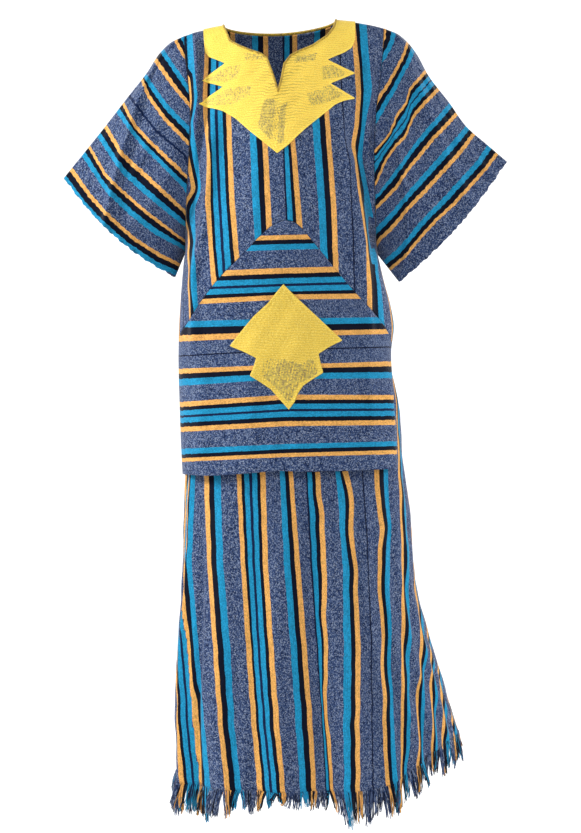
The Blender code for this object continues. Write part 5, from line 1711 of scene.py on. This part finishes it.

# The neck's rolled edge: the yoke's cloth turned in along the neck and its slit and whipped
# over with yellow thread, rougher than the flat stitching, its colour darkened as painted
# shade of its steep turns.

ROLL_RADIUS = 0.0019
ROLL_OUT = LAID_ON + 0.0006
WHIPPING_SCALE = 420.0       # tones of its thread to a metre, each about 2.4 mm long
roll_path = np.vstack([
    laid_on(*neckline.T, np.full(len(neckline), ROLL_OUT)),
    laid_on(*neck_edge[::-1].T, np.full(len(neck_edge), ROLL_OUT), True)[1:-1],
])
along_roll = unit(np.roll(roll_path, -1, axis=0) - np.roll(roll_path, 1, axis=0))
outward = unit(np.cross(along_roll, np.cross([0, 0, 1.0], along_roll) + 1e-9))
across_roll = np.cross(along_roll, outward)
around = np.linspace(0, 2 * np.pi, 9)
ring = (
    np.cos(around)[None, :, None] * outward[:, None]
    + np.sin(around)[None, :, None] * across_roll[:, None]
)
roll_grid = roll_path[:, None] + ROLL_RADIUS * ring
roll_grid = np.vstack([roll_grid, roll_grid[:1]])
roll_faces = quads_of(*roll_grid.shape[:2])
neck_roll = mesh_object("neck_rolled_edge", roll_grid, roll_faces)
roll_along = run_along(roll_grid, 0)
give_map(neck_roll, "stitch", roll_along * 0.6, roll_along + around * 0.001, roll_faces)
weld(neck_roll, "close")
rolled, roll_tree, roll_shader = new_material(
    "yellow_whipping_thread_painted_shade", 0.7, {"Sheen Weight": 0.2}
)
roll_noise = noise_of(roll_tree, uv_of(roll_tree, "stitch"), WHIPPING_SCALE)
# Painted shade: the ramp's tones are darker than the flat stitching's, for the shade of the
# thread's steep turns; they also differ at random.
roll_colour = ramp_of(roll_tree, roll_noise, (
    (0.30, "#7C6318"), (0.50, "#B08F24"), (0.70, "#D9B838"),
), "LINEAR")
set_surface(roll_tree, roll_shader, roll_colour.outputs["Color"], roll_noise, 0.5, 0.0006)
neck_roll.data.materials.append(rolled)
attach(neck_roll, "root")

# The emblem: a pointed plate on the smock's lower front, stitched through the strip cloth as
# the yoke is, dense above and open below, in the yoke's yellow darkened as painted shade.

EMBLEM_OUTLINE = (
    (0.001, -0.454), (0.023, -0.476), (0.056, -0.507), (0.097, -0.545), (0.075, -0.556),
    (0.058, -0.567), (0.062, -0.583), (0.066, -0.598), (0.048, -0.609), (0.033, -0.619),
    (0.025, -0.631), (0.019, -0.646), (0.010, -0.658), (-0.005, -0.641), (-0.019, -0.625),
    (-0.034, -0.615), (-0.053, -0.603), (-0.047, -0.588), (-0.043, -0.574), (-0.064, -0.563),
    (-0.086, -0.554), (-0.071, -0.535), (-0.047, -0.506), (-0.024, -0.485), (-0.011, -0.468),
)
EMBLEM_TIP = 12
EMBLEM_ROWS = 128
emblem_right = side_of(EMBLEM_OUTLINE[:EMBLEM_TIP + 1])
emblem_left = side_of((EMBLEM_OUTLINE[0],) + EMBLEM_OUTLINE[:EMBLEM_TIP - 1:-1])
emblem_downs = np.linspace(emblem_right[0][0], emblem_right[0][-1], EMBLEM_ROWS)
left_angle = np.interp(emblem_downs, *emblem_left)[:, None]
right_angle = np.interp(emblem_downs, *emblem_right)[:, None]
emblem_angles = left_angle + (right_angle - left_angle) * np.linspace(0, 1, 72)
emblem_edge = pattern_line(EMBLEM_OUTLINE + EMBLEM_OUTLINE[:1]) * (HALF_CLOTH, 1)
# The emblem's stitching is the yoke's, with its colour scaled to 0.88 against 1.10: painted shade.
emblem = stitched_piece(
    "front_emblem_stitching",
    [(emblem_angles, np.broadcast_to(emblem_downs[:, None], emblem_angles.shape))],
    emblem_edge, stitched_material("yellow_machine_stitching_painted_shade", 0.88),
)
put_in_frame(emblem, "front_emblem")
